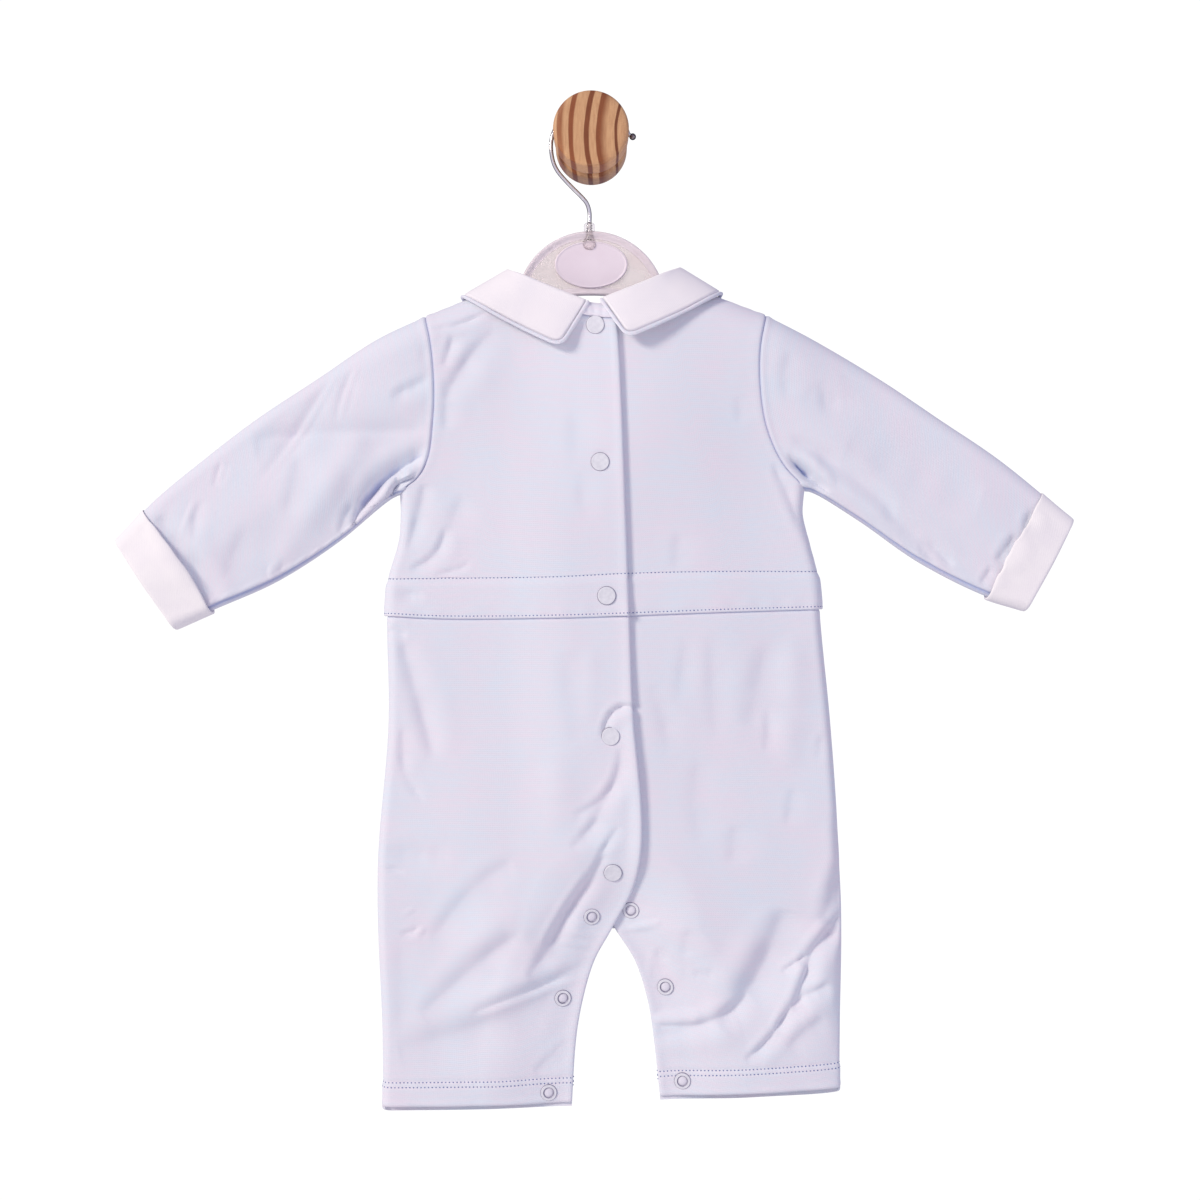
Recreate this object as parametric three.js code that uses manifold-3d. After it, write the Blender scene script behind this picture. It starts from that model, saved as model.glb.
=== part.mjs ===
// A baby's romper with long sleeves and long legs, hung back outwards on a clear plastic hanger from a
// wooden wall peg. Millimetres, +Z up, wall at y = 0, the romper's back towards -Y. The origin is the
// centre of the peg's flat back face, where it meets the wall.
//
// Every cloth piece is a closed wall. Its inner face is worked out first, as a grid of points between
// the outlines of the cut piece, and its outer face is those points moved out along the cloth's normals.
import * as THREE from "three";
import { mergeVertices } from "three/addons/utils/BufferGeometryUtils.js";
import Module from "manifold-3d";

const wasm = await Module();
wasm.setup();

// Cloth
const CLOTH = 1.2; // cotton interlock, one layer
const BAND_CLOTH = 2.1; // waistband, cut double
const COLLAR_CLOTH = 1.8; // collar, two layers turned out
const NECKBAND_CLOTH = 1.5;
const CUFF_CLOTH = 1.9; // turned-back cuff
const SEAM_GAP = 0.34;

// How the romper hangs
const Y_MID = -20; // plane between front and back, the hanger's own plane
const PLACKET_LIFT = 2.9; // the left back stands this far over the right back where they overlap
const SIDE_REACH = 42; // how far in from a side fold the cloth reaches its full depth
const SHOULDER_REACH = 22;
const INSEAM_FLAT = 8; // strip beside the inside leg where front and back lie flush
const INSEAM_REACH = 36;
const INSEAM_HALF = 0.4;

// Wall peg
const PEG_LENGTH = 42;
const PEG_HEAD_R = 21;
const PEG_NECK_R = 17.2;
const PEG_BASE_R = 20.5;
const PEG_GROOVE = [-24, -16];

// Hanger
const HANGER_T = 4.4;
const HANGER_WEB = 1.8;
const HANGER_RIM = 3;
const DOME_R = 42.4;
const DOME_Z = -94.5;
const WIRE_R = 1.15;
const HOOK_R = 22.7;
const HOOK_Z = -4;
const HOOK_END = 0.22; // turn at which the wire ends, up from level
const STEM_X = -1;
const WIRE_END_Z = -61;
const LABEL = { z: -71.3, halfWidth: 20.6, halfHeight: 13.2 };
const BOSS_R = 3.1;

// Snap fasteners
const CAP_R = 5.1;
const RING_R = 4.7;
const RING_HOLE_R = 2.6;
const STUD_R = 2.6;

// ---- Outlines of the cut, seen from the back -------------------------------------------------------

// Half the space between front and back, by height.
const DEPTHS = [
  { z: -70, half: 10.5 },
  { z: -150, half: 11 },
  { z: -260, half: 11 },
  { z: -400, half: 10.5 },
  { z: -480, half: 9 },
  { z: -548, half: 7.5 },
];

// Side folds from the underarm to the hem.
const SIDES = [
  { z: -197, left: -107, right: 119.4 },
  { z: -212, left: -106.4, right: 118.4 },
  { z: -228, left: -107.6, right: 122 },
  { z: -250, left: -113.6, right: 127.4 },
  { z: -272, left: -114.2, right: 128.4 },
  { z: -330, left: -113.4, right: 134 },
  { z: -400, left: -119, right: 138.8 },
  { z: -440, left: -119.4, right: 140.6 },
  { z: -500, left: -117, right: 139.8 },
  { z: -548, left: -116.6, right: 139.4 },
];

// Free edge of the left back: centre edge, then inside leg. And of the right back, partly under it.
const FREE_EDGES = [
  { z: -96, left: 12.4, right: -10 },
  { z: -112, left: 14.9, right: -9.5 },
  { z: -160, left: 17.4, right: -8 },
  { z: -204, left: 19, right: -6 },
  { z: -268, left: 21.4, right: -3 },
  { z: -325, left: 23.5, right: -1.5 },
  { z: -374, left: 28, right: -2 },
  { z: -402, left: 27.8, right: -1 },
  { z: -424, left: 23, right: 3 },
  { z: -444.5, left: 12.4, right: 12.4 },
  { z: -464, left: 2, right: 24.6 },
  { z: -487, left: -4.8, right: 32 },
  { z: -510, left: -8.6, right: 35.6 },
  { z: -548, left: -11, right: 39.6 },
];
const CROTCH = { x: 12.4, z: -444.5 };

// Waistband seams and hems, height by place across.
const WAIST = [
  { x: -116, top: -248.7, low: -269.6 },
  { x: -80, top: -248.2, low: -271.2 },
  { x: -20, top: -247.4, low: -270.6 },
  { x: 22, top: -245.4, low: -269.4 },
  { x: 70, top: -244.4, low: -267.6 },
  { x: 129, top: -244.4, low: -265.8 },
];
const WAIST_MID = -258.5;
const WAIST_HALF = 11;
const HEMS = {
  left: { outer: -546.3, inner: -544.5 },
  right: { outer: -536, inner: -541 },
};
const FRONT_HEM_DROP = 1.2;

const LEFT = {
  sign: -1,
  tip: [-93.2, -101.6],
  neck: [-47, -82.8],
  armhole: [
    [-93.2, -101.6],
    [-89.6, -117],
    [-87.7, -143],
    [-88.8, -162.5],
    [-91.6, -181],
    [-97.6, -192],
    [-107, -199],
  ],
  sleeveTop: [
    [-93.2, -101.6],
    [-121, -114.8],
    [-155, -137.3],
    [-189, -159.8],
    [-218.4, -182.3],
    [-245.8, -205],
    [-266.6, -226.6],
  ],
  sleeveLow: [
    [-107, -199],
    [-116.4, -203.6],
    [-142.6, -226],
    [-177.6, -248.8],
    [-214, -265],
    [-234.4, -274.2],
  ],
  foldNeck: [-49.6, -74.6],
  foldEnd: [-2.6, -93.4],
  tipBack: [-18.4, -115.8],
  collarEdgeX: -71.6,
};
const RIGHT = {
  sign: 1,
  tip: [98.2, -100.9],
  neck: [50.8, -82.6],
  armhole: [
    [98.2, -100.9],
    [94.9, -116.6],
    [94.4, -135],
    [97, -158],
    [101.6, -172.5],
    [108.6, -185.4],
    [119.4, -197],
  ],
  sleeveTop: [
    [98.2, -100.9],
    [125.5, -115],
    [163.2, -137.4],
    [196.6, -159.8],
    [230, -182.4],
    [270.2, -215.2],
  ],
  sleeveLow: [
    [119.4, -197],
    [127.6, -199.6],
    [153, -215.4],
    [185, -237.8],
    [221.6, -256.4],
    [244.4, -263.8],
  ],
  foldNeck: [52.8, -73.6],
  foldEnd: [6.4, -91],
  tipBack: [19.8, -109.6],
  collarEdgeX: 72.4,
};
const FRONT_CENTRE_X = 1.5;
const FRONT_NECK_Z = -122; // centre front of the neckline
const BACK_NECK_Z = -101.6;

// Soft troughs in the cloth, as three points along each with its half width and depth.
const BACK_FOLDS = [
  { x1: 9, z1: -389, xm: -8, zm: -424, x2: -29, z2: -478, width: 6, depth: 4 },
  { x1: 0, z1: -477, xm: -28, zm: -486, x2: -60, z2: -499, width: 5, depth: 2.4 },
  { x1: -48, z1: -410, xm: -76, zm: -436, x2: -92, z2: -470, width: 11, depth: 2.6 },
  { x1: -36, z1: -455, xm: -62, zm: -474, x2: -86, z2: -502, width: 10, depth: 3 },
  { x1: 137, z1: -448, xm: 124, zm: -470, x2: 108, z2: -490, width: 7, depth: 3 },
  { x1: 127, z1: -466, xm: 116, zm: -500, x2: 96, z2: -528, width: 7, depth: 3.4 },
  { x1: 44, z1: -511, xm: 72, zm: -510, x2: 97, z2: -480, width: 8, depth: 2.8 },
  { x1: 112, z1: -450, xm: 104, zm: -476, x2: 88, z2: -502, width: 9, depth: 2.2 },
  { x1: -103, z1: -231, xm: -94, zm: -222, x2: -80, z2: -213, width: 5, depth: 1.6 },
  { x1: 24, z1: -320, xm: 12, zm: -326, x2: 7, z2: -340, width: 5, depth: 1.4 },
];
const FRONT_FOLDS = [
  { x1: 0, z1: -400, xm: -20, zm: -440, x2: -52, z2: -470, width: 9, depth: 3 },
  { x1: 22, z1: -404, xm: 40, zm: -446, x2: 74, z2: -482, width: 9, depth: 3 },
  { x1: -104, z1: -430, xm: -90, zm: -470, x2: -66, z2: -505, width: 10, depth: 3 },
  { x1: 126, z1: -432, xm: 112, zm: -474, x2: 92, z2: -512, width: 10, depth: 3 },
  { x1: -70, z1: -160, xm: -48, zm: -176, x2: -20, z2: -184, width: 8, depth: 1.6 },
  { x1: 78, z1: -166, xm: 56, zm: -184, x2: 30, z2: -190, width: 8, depth: 1.6 },
];
const SLEEVE_FOLDS = [
  { x1: -92, z1: -179, xm: -114, zm: -189, x2: -138, z2: -207, width: 4.5, depth: 3 },
  { x1: -128, z1: -124, xm: -146, zm: -150, x2: -176, z2: -180, width: 7, depth: 1.2 },
  { x1: 108, z1: -186, xm: 116, zm: -191, x2: 126, z2: -200, width: 4, depth: 2.6 },
  { x1: 130, z1: -192, xm: 172, zm: -220, x2: 216, z2: -246, width: 8, depth: 1.8 },
];

// ---- Small geometry helpers ------------------------------------------------------------------------

const clamp01 = (t) => Math.min(1, Math.max(0, t));
const mix = (a, b, t) => a + (b - a) * t;
const ease = (t) => clamp01(t) ** 2 * (3 - 2 * clamp01(t));
// Rises from 0 to 1 as a quarter circle, as cloth rounds in from a fold.
const roundIn = (t) => Math.sqrt(clamp01(t) * (2 - clamp01(t)));
const fractions = (n, shape) => Array.from({ length: n + 1 }, (_, i) => shape(i / n));
const EVEN = (t) => t;
const DENSE_START = (t) => 1 - Math.cos((t * Math.PI) / 2);
const DENSE_BOTH = (t) => (1 - Math.cos(t * Math.PI)) / 2;
const BACK_SPREAD = (t) => mix(DENSE_START(t), DENSE_BOTH(t), 0.6); // side fold to free edge

// Smooth curve in the X-Z plane through points, by share of its length.
function curve(points) {
  const path = new THREE.CatmullRomCurve3(
    points.map(([x, z]) => new THREE.Vector3(x, 0, z)),
    false,
    "centripetal",
  );
  path.arcLengthDivisions = 400;
  return (t) => {
    const p = path.getPointAt(clamp01(t));
    return [p.x, p.z];
  };
}

// Smooth value of one column of a table at a key, with the table's rows in order of the key column.
function lookup(table, keyColumn, key, column) {
  const ascending = table[1][keyColumn] > table[0][keyColumn];
  const rows = ascending ? table : [...table].reverse();
  const last = rows.length - 1;
  const k = clamp01((key - rows[0][keyColumn]) / (rows[last][keyColumn] - rows[0][keyColumn]));
  if (k === 0) return rows[0][column];
  if (k === 1) return rows[last][column];
  let i = 0;
  while (rows[i + 1][keyColumn] < key) i++;
  const slope = (a, b) => (b[column] - a[column]) / (b[keyColumn] - a[keyColumn]);
  const [p, q] = [rows[i], rows[i + 1]];
  const m0 = i > 0 ? slope(rows[i - 1], q) : slope(p, q);
  const m1 = i + 2 <= last ? slope(p, rows[i + 2]) : slope(p, q);
  const span = q[keyColumn] - p[keyColumn];
  const t = (key - p[keyColumn]) / span;
  const h = t * t * (3 - 2 * t);
  return (
    mix(p[column], q[column], h) +
    span * (m0 * t * (1 - t) ** 2 - m1 * t * t * (1 - t))
  );
}

function distanceToSegment([x, z], [ax, az], [bx, bz]) {
  const [dx, dz] = [bx - ax, bz - az];
  const t = clamp01(((x - ax) * dx + (z - az) * dz) / (dx * dx + dz * dz));
  return Math.hypot(x - ax - dx * t, z - az - dz * t);
}

// Point above (or below) the shoulder seam, square to it, at a place across.
function overShoulder({ tip, neck }, x, rise) {
  const [dx, dz] = [tip[0] - neck[0], tip[1] - neck[1]];
  const length = Math.hypot(dx, dz);
  const z = neck[1] + ((x - neck[0]) * dz) / dx;
  return [x - (rise * dz * Math.sign(dx)) / length, z + (rise * Math.abs(dx)) / length];
}

// Grid of X-Z points between four outline curves given as arrays of points.
function patch(top, low, left, right, us, vs) {
  const [tl, tr] = [top[0], top[top.length - 1]];
  const [bl, br] = [low[0], low[low.length - 1]];
  return vs.map((v, j) =>
    us.map((u, i) =>
      [0, 1].map(
        (k) =>
          mix(top[i][k], low[i][k], v) +
          mix(left[j][k], right[j][k], u) -
          mix(mix(tl[k], tr[k], u), mix(bl[k], br[k], u), v),
      ),
    ),
  );
}

// ---- The hanging cloth's depth ---------------------------------------------------------------------

function sideDistance(x, z, side) {
  const [ux, uz] = side.armhole[side.armhole.length - 1];
  if (z >= uz) return Math.hypot(x - ux, z - uz);
  const edge = lookup(SIDES, "z", z, side === LEFT ? "left" : "right");
  return (edge - x) * side.sign;
}

function inseamDistance(x, z) {
  if (z >= CROTCH.z) return Math.hypot(x - CROTCH.x, z - CROTCH.z);
  const left = lookup(FREE_EDGES, "z", z, "left");
  const right = lookup(FREE_EDGES, "z", z, "right");
  return Math.max(0, left - x, x - right) === 0 ? 0 : Math.max(left - x, x - right);
}

// Half the space between the inner faces of front and back at a place seen from the back.
function halfDepth(x, z) {
  const sides = [LEFT, RIGHT].map((s) => roundIn(sideDistance(x, z, s) / SIDE_REACH));
  const shoulder = Math.min(...[LEFT, RIGHT].map((s) => distanceToSegment([x, z], s.tip, s.neck)));
  const full =
    lookup(DEPTHS, "z", z, "half") * sides[0] * sides[1] * roundIn(shoulder / SHOULDER_REACH);
  const open = ease((inseamDistance(x, z) - INSEAM_FLAT) / INSEAM_REACH);
  return mix(Math.min(full, INSEAM_HALF), full, open);
}

function foldDepth(folds, x, z) {
  let sum = 0;
  for (const f of folds) {
    const bow = new THREE.QuadraticBezierCurve(
      new THREE.Vector2(f.x1, f.z1),
      new THREE.Vector2(2 * f.xm - (f.x1 + f.x2) / 2, 2 * f.zm - (f.z1 + f.z2) / 2),
      new THREE.Vector2(f.x2, f.z2),
    );
    let [best, at] = [Infinity, 0];
    for (let t = 0; t <= 1; t += 0.05) {
      const p = bow.getPoint(t);
      const d = Math.hypot(x - p.x, z - p.y);
      if (d < best) [best, at] = [d, t];
    }
    sum += f.depth * Math.exp(-((best / f.width) ** 2)) * roundIn(Math.min(at, 1 - at) * 5 + 0.1);
  }
  return sum;
}

// How far the left back is raised, to lie over the right back.
function placketLift(x, z) {
  const under = lookup(FREE_EDGES, "z", z, "right");
  const across = ease((x - under + 20) / 12);
  return PLACKET_LIFT * across * ease((z - CROTCH.z + 24) / 20);
}

function backPoint([x, z], lifted) {
  const h = halfDepth(x, z);
  const soft = ease(h / 6);
  const y = Math.max(h - foldDepth(BACK_FOLDS, x, z) * soft, Math.min(h, INSEAM_HALF));
  return new THREE.Vector3(x, Y_MID - y - (lifted ? placketLift(x, z) : 0), z);
}

function frontPoint([x, z]) {
  const h = halfDepth(x, z);
  return new THREE.Vector3(x, Y_MID + h - foldDepth(FRONT_FOLDS, x, z) * ease(h / 6), z);
}

// ---- Cloth walls -----------------------------------------------------------------------------------

// A cloth piece: points of its inner face, quads of point numbers facing out, and its thickness.
function sheet(name, points, quads, thickness, material) {
  return { name, points, quads, thickness, material, normals: faceNormals(points, quads) };
}

function faceNormals(points, quads) {
  const normals = points.map(() => new THREE.Vector3());
  for (const [a, b, c, d] of quads) {
    const across = points[c].clone().sub(points[a]);
    const down = points[d].clone().sub(points[b]);
    const n = across.cross(down);
    for (const i of [a, b, c, d]) normals[i].add(n);
  }
  return normals.map((n) => n.normalize());
}

// Edges of the sheet that belong to one quad only, in the direction the quad runs.
function freeEdges(quads) {
  const seen = new Map();
  for (const q of quads)
    q.forEach((a, i) => {
      const b = q[(i + 1) % q.length];
      const back = `${b},${a}`;
      if (seen.has(back)) seen.delete(back);
      else seen.set(`${a},${b}`, [a, b]);
    });
  return [...seen.values()];
}

// Where two sheets meet at a seam, both use the mean normal, so that their walls are mitred.
function matchSeamNormals(sheets) {
  const REACH = 0.9;
  const rims = sheets.map((s) => [...new Set(freeEdges(s.quads).flat())]);
  const matched = sheets.map((s) => s.normals.map((n) => n.clone()));
  sheets.forEach((a, ia) =>
    rims[ia].forEach((p) => {
      sheets.forEach((b, ib) => {
        if (ia === ib) return;
        let [best, found] = [REACH, -1];
        for (const q of rims[ib]) {
          const d = a.points[p].distanceTo(b.points[q]);
          if (d < best) [best, found] = [d, q];
        }
        if (found >= 0) matched[ia][p].add(b.normals[found]);
      });
    }),
  );
  sheets.forEach((s, i) => (s.normals = matched[i].map((n) => n.normalize())));
}

// Draws each free edge in by half the seam gap, within the sheet.
function drawInEdges(s) {
  const edges = freeEdges(s.quads);
  const rim = new Set(edges.flat());
  const inward = new Map([...rim].map((p) => [p, new THREE.Vector3()]));
  for (const q of s.quads) {
    const centre = new THREE.Vector3();
    q.forEach((p) => centre.addScaledVector(s.points[p], 1 / q.length));
    q.forEach((a, i) => {
      const b = q[(i + 1) % q.length];
      if (!edges.some(([m, n]) => m === a && n === b)) return;
      const along = s.points[b].clone().sub(s.points[a]).normalize();
      const into = centre.sub(s.points[a]);
      into.addScaledVector(along, -into.dot(along)).normalize();
      [a, b].forEach((p) => inward.get(p).add(into));
    });
  }
  for (const [p, v] of inward) {
    s.points[p] = s.points[p].clone().addScaledVector(v.normalize(), SEAM_GAP / 2);
  }
}

// Closed geometry from an inner and an outer layer of points and the quads between them.
function closedWall(inner, outer, quads) {
  const n = inner.length;
  const faces = [];
  const addQuad = (a, b, c, d) => faces.push(a, b, c, a, c, d);
  for (const [a, b, c, d] of quads) {
    addQuad(a + n, b + n, c + n, d + n);
    addQuad(d, c, b, a);
  }
  for (const [a, b] of freeEdges(quads)) addQuad(b + n, a + n, a, b);
  return indexedGeometry([...inner, ...outer], faces);
}

function indexedGeometry(points, faces) {
  const geometry = new THREE.BufferGeometry();
  const flat = points.flatMap((p) => [p.x, p.y, p.z]);
  geometry.setAttribute("position", new THREE.Float32BufferAttribute(flat, 3));
  geometry.setIndex(faces);
  return geometry;
}

function wallGeometry(s) {
  const outer = s.points.map((p, i) => p.clone().addScaledVector(s.normals[i], s.thickness));
  return closedWall(s.points, outer, s.quads);
}

// Quads of a grid of rows by columns. The grid faces out when its columns run left to right as seen
// from outside; flip is for the opposite.
function gridQuads(rows, columns, flip) {
  const quads = [];
  for (let j = 0; j < rows - 1; j++)
    for (let i = 0; i < columns - 1; i++) {
      const a = j * columns + i;
      const q = [a, a + columns, a + columns + 1, a + 1];
      quads.push(flip ? q.reverse() : q);
    }
  return quads;
}

function finish(color, roughness, rest = {}) {
  return new THREE.MeshStandardMaterial({ color, roughness, metalness: 0, ...rest });
}
const MATERIALS = {
  blue: finish(0xdfe3f4, 0.9),
  white: finish(0xf4edf2, 0.9),
  snap: finish(0xe2dfe8, 0.35),
  clear: finish(0xefe6ea, 0.15, { transparent: true, opacity: 0.5 }),
  label: finish(0xebe0e8, 0.6),
  steel: finish(0xc8c8cc, 0.2, { metalness: 1 }),
  wood: finish(0xd9ab82, 0.6),
};

// ---- Panels of the body ----------------------------------------------------------------------------

const ARMHOLE_STEPS = 10;
const SIDE_STEPS = 4; // underarm to waistband
const HALF_COLUMNS = { shoulder: 4, neck: 5 };
const LEG_COLUMNS = 11;
const LEG_ROWS = 21;
const ARMHOLE_SHARE = 0.68; // of the bodice's height

const freeEdge = (z, column) => [lookup(FREE_EDGES, "z", z, column), z];
const sideEdge = (z, column) => [lookup(SIDES, "z", z, column), z];
const waist = (x, column) => [x, lookup(WAIST, "x", x, column)];

const bodiceRows = [
  ...fractions(ARMHOLE_STEPS, DENSE_BOTH).map((t) => t * ARMHOLE_SHARE),
  ...fractions(SIDE_STEPS, EVEN).slice(1).map((t) => mix(ARMHOLE_SHARE, 1, t)),
];

// Armhole from the shoulder tip to the underarm, then the side fold down to the waistband.
function bodiceSide(side, column) {
  const armhole = curve(side.armhole);
  const under = side.armhole[side.armhole.length - 1];
  const low = waist(lookup(SIDES, "z", -248, column), "top")[1];
  return [
    ...fractions(ARMHOLE_STEPS, DENSE_BOTH).map(armhole),
    ...fractions(SIDE_STEPS, EVEN).slice(1).map((t) => sideEdge(mix(under[1], low, t), column)),
  ];
}

// Points of the shoulder seam from tip to neck point, closer together at the sleeve.
function shoulderSeam({ tip, neck }) {
  const shares = fractions(HALF_COLUMNS.shoulder, (t) => t ** 1.8);
  return shares.map((t) => [mix(tip[0], neck[0], t), mix(tip[1], neck[1], t)]);
}

// Points of the neckline after the neck point, round to the centre.
function neckline(side, centre, steps) {
  const drop = (t) => Math.sin((t * Math.PI) / 2) ** 0.85;
  return fractions(steps, (t) => mix(EVEN(t), DENSE_START(t), 0.7))
    .slice(1)
    .map((t) => [mix(side.neck[0], centre[0], t), mix(side.neck[1], centre[1], drop(t))]);
}

const steps = HALF_COLUMNS.shoulder + HALF_COLUMNS.neck;
const sheets = [];

// Adds a panel from its flat grid. Backs of the left side and fronts are wound opposite ways.
function addGrid(name, grid, place, thickness, flip) {
  const quads = gridQuads(grid.length, grid[0].length, flip);
  sheets.push(sheet(name, grid.flat().map(place), quads, thickness, "blue"));
}

function backBodice(side, column) {
  const left = side === LEFT;
  const topCentre = freeEdge(BACK_NECK_Z, column);
  const top = [...shoulderSeam(side), ...neckline(side, topCentre, HALF_COLUMNS.neck)];
  const outer = bodiceSide(side, column);
  const us = fractions(steps, BACK_SPREAD);
  const centreLow = waist(lookup(FREE_EDGES, "z", -247, column), "top");
  const [outerX] = outer[outer.length - 1];
  const low = us.map((u) => waist(mix(outerX, centreLow[0], u), "top"));
  const inner = bodiceRows.map((v) => freeEdge(mix(topCentre[1], centreLow[1], v), column));
  const grid = patch(top, low, outer, inner, us, bodiceRows);
  addGrid(`back_bodice_${column}`, grid, (p) => backPoint(p, left), CLOTH, !left);
}

function frontBodice() {
  const centre = [FRONT_CENTRE_X, FRONT_NECK_Z];
  const leftTop = [...shoulderSeam(LEFT), ...neckline(LEFT, centre, HALF_COLUMNS.neck)];
  const rightTop = [...shoulderSeam(RIGHT), ...neckline(RIGHT, centre, HALF_COLUMNS.neck)];
  const top = [...leftTop, ...rightTop.reverse().slice(1)];
  const us = fractions(2 * steps, DENSE_BOTH);
  const left = bodiceSide(LEFT, "left");
  const right = bodiceSide(RIGHT, "right");
  const last = left.length - 1;
  const low = us.map((u) => waist(mix(left[last][0], right[last][0], u), "top"));
  const grid = patch(top, low, left, right, us, bodiceRows);
  addGrid("front_bodice", grid, frontPoint, CLOTH, true);
}

// The inset waistband: two backs and a front between the same two seams.
function waistbands() {
  const rows = fractions(2, EVEN);
  const band = (name, from, to, us, place, flip) => {
    const grid = rows.map((v) =>
      us.map((u) => {
        const z = mix(WAIST_MID + WAIST_HALF, WAIST_MID - WAIST_HALF, v);
        const x = mix(from(z)[0], to(z)[0], u);
        return [x, mix(waist(x, "top")[1], waist(x, "low")[1], v)];
      }),
    );
    addGrid(name, grid, place, BAND_CLOTH, flip);
  };
  const side = (column) => (z) => sideEdge(z, column);
  const edge = (column) => (z) => freeEdge(z, column);
  const half = fractions(steps, BACK_SPREAD);
  const whole = fractions(2 * steps, DENSE_BOTH);
  const leftBack = (p) => backPoint(p, true);
  const rightBack = (p) => backPoint(p, false);
  band("waistband_back_left", side("left"), edge("left"), half, leftBack, false);
  band("waistband_back_right", side("right"), edge("right"), half, rightBack, true);
  band("waistband_front", side("left"), side("right"), whole, frontPoint, true);
}

// Outline points of one half of the legs: waist seam, hem, side fold and inner edge.
function legOutline(column, drop, us, innerTopX) {
  const outerX = sideEdge(-270, column)[0];
  const vs = fractions(LEG_ROWS, EVEN);
  const hem = HEMS[column];
  const zAt = (from, to) => vs.map((v) => mix(from, to, v));
  const outer = zAt(waist(outerX, "low")[1], hem.outer - drop).map((z) => sideEdge(z, column));
  const edge = zAt(waist(innerTopX, "low")[1], hem.inner - drop).map((z) => freeEdge(z, column));
  const top = us.map((u) => waist(mix(outer[0][0], innerTopX, u), "low"));
  const hemPoints = us.map((u) => [0, 1].map((k) => mix(outer[LEG_ROWS][k], edge[LEG_ROWS][k], u)));
  return { outer, edge, top, hemPoints, vs };
}

function backLeg(side, column) {
  const left = side === LEFT;
  const us = fractions(LEG_COLUMNS, BACK_SPREAD);
  const { outer, edge, top, hemPoints, vs } = legOutline(column, 0, us, freeEdge(-269.5, column)[0]);
  edge[0] = top[LEG_COLUMNS];
  const grid = patch(top, hemPoints, outer, edge, us, vs);
  addGrid(`back_leg_${column}`, grid, (p) => backPoint(p, left), CLOTH, !left);
}

// The front is one piece to the crotch. Its two halves share their centre column above the crotch.
function frontLegs() {
  const us = fractions(LEG_COLUMNS, DENSE_START);
  const halves = ["left", "right"].map((column) => {
    const { outer, edge, top, hemPoints, vs } = legOutline(column, FRONT_HEM_DROP, us, CROTCH.x);
    const crotchRow = Math.round(
      (LEG_ROWS * (edge[0][1] - CROTCH.z)) / (edge[0][1] - edge[LEG_ROWS][1]),
    );
    const hemZ = edge[LEG_ROWS][1];
    const inner = vs.map((v, j) => {
      if (j <= crotchRow) return [CROTCH.x, mix(top[LEG_COLUMNS][1], CROTCH.z, j / crotchRow)];
      const z = mix(CROTCH.z, hemZ, (j - crotchRow) / (LEG_ROWS - crotchRow));
      return freeEdge(z, column);
    });
    return patch(top, hemPoints, outer, inner, us, vs);
  });
  const right = halves[1].map((row) => [...row].reverse());
  const rows = halves[0].map((row, j) => [...row, ...right[j]]);
  const columns = rows[0].length;
  const quads = gridQuads(rows.length, columns, true).filter((q) => {
    const column = Math.min(...q) % columns;
    return column !== LEG_COLUMNS;
  });
  const points = rows.flat().map(frontPoint);
  const merged = new Map();
  const same = points.map((p, i) => {
    const key = p.toArray().map((c) => c.toFixed(4)).join();
    if (!merged.has(key)) merged.set(key, i);
    return merged.get(key);
  });
  const used = [...new Set(same)];
  const number = new Map(used.map((old, i) => [old, i]));
  const kept = quads.map((q) => q.map((p) => number.get(same[p])));
  sheets.push(sheet("front_legs", used.map((i) => points[i]), kept, CLOTH, "blue"));
}

// ---- Sleeves and cuffs -----------------------------------------------------------------------------

const SLEEVE_STATIONS = 13;
const CUFF_DEPTH = 25;
const SLEEVE_HALF = [
  { s: 0, half: 9.5 },
  { s: 0.5, half: 8.5 },
  { s: 1, half: 7 },
];
const CUFF_CLEARANCE = 0.5;

// Place on the sleeve's inner face: s from the armhole to the hem, turn round it from the top fold.
function sleeveSurface(side) {
  const armhole = curve(side.armhole);
  const top = curve(side.sleeveTop);
  const low = curve(side.sleeveLow);
  const end = (w) => [0, 1].map((k) => mix(top(1)[k], low(1)[k], w));
  const flat = (s, w) =>
    [0, 1].map(
      (k) =>
        mix(armhole(w)[k], end(w)[k], s) +
        mix(top(s)[k], low(s)[k], w) -
        mix(mix(top(0)[k], top(1)[k], s), mix(low(0)[k], low(1)[k], s), w),
    );
  return (s, turn) => {
    const angle = turn * 2 * Math.PI;
    const w = (1 - Math.cos(angle)) / 2;
    const [x, z] = flat(s, w);
    const tube = lookup(SLEEVE_HALF, "s", s, "half") * (1 - Math.abs(2 * w - 1) ** 2.6) ** 0.5;
    const h = mix(halfDepth(...armhole(w)), tube, ease(s / 0.4));
    const crease = foldDepth(SLEEVE_FOLDS, x, z) * ease(h / 6) * ease(s * 7);
    return new THREE.Vector3(x, Y_MID - Math.sign(Math.sin(angle)) * (h - crease), z);
  };
}

function tubeQuads(stations, around, flip) {
  const quads = [];
  for (let j = 0; j < stations - 1; j++)
    for (let i = 0; i < around; i++) {
      const next = (i + 1) % around;
      const q = [j * around + i, j * around + next, (j + 1) * around + next, (j + 1) * around + i];
      quads.push(flip ? q.reverse() : q);
    }
  return quads;
}

const turns = fractions(2 * ARMHOLE_STEPS, EVEN).slice(0, -1);

function sleeve(side, column) {
  const at = sleeveSurface(side);
  const stations = fractions(SLEEVE_STATIONS, EVEN);
  const points = stations.flatMap((s) => turns.map((t) => at(s, t)));
  const quads = tubeQuads(stations.length, turns.length, side === LEFT);
  sheets.push(sheet(`sleeve_${column}`, points, quads, CLOTH, "blue"));
}

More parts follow.
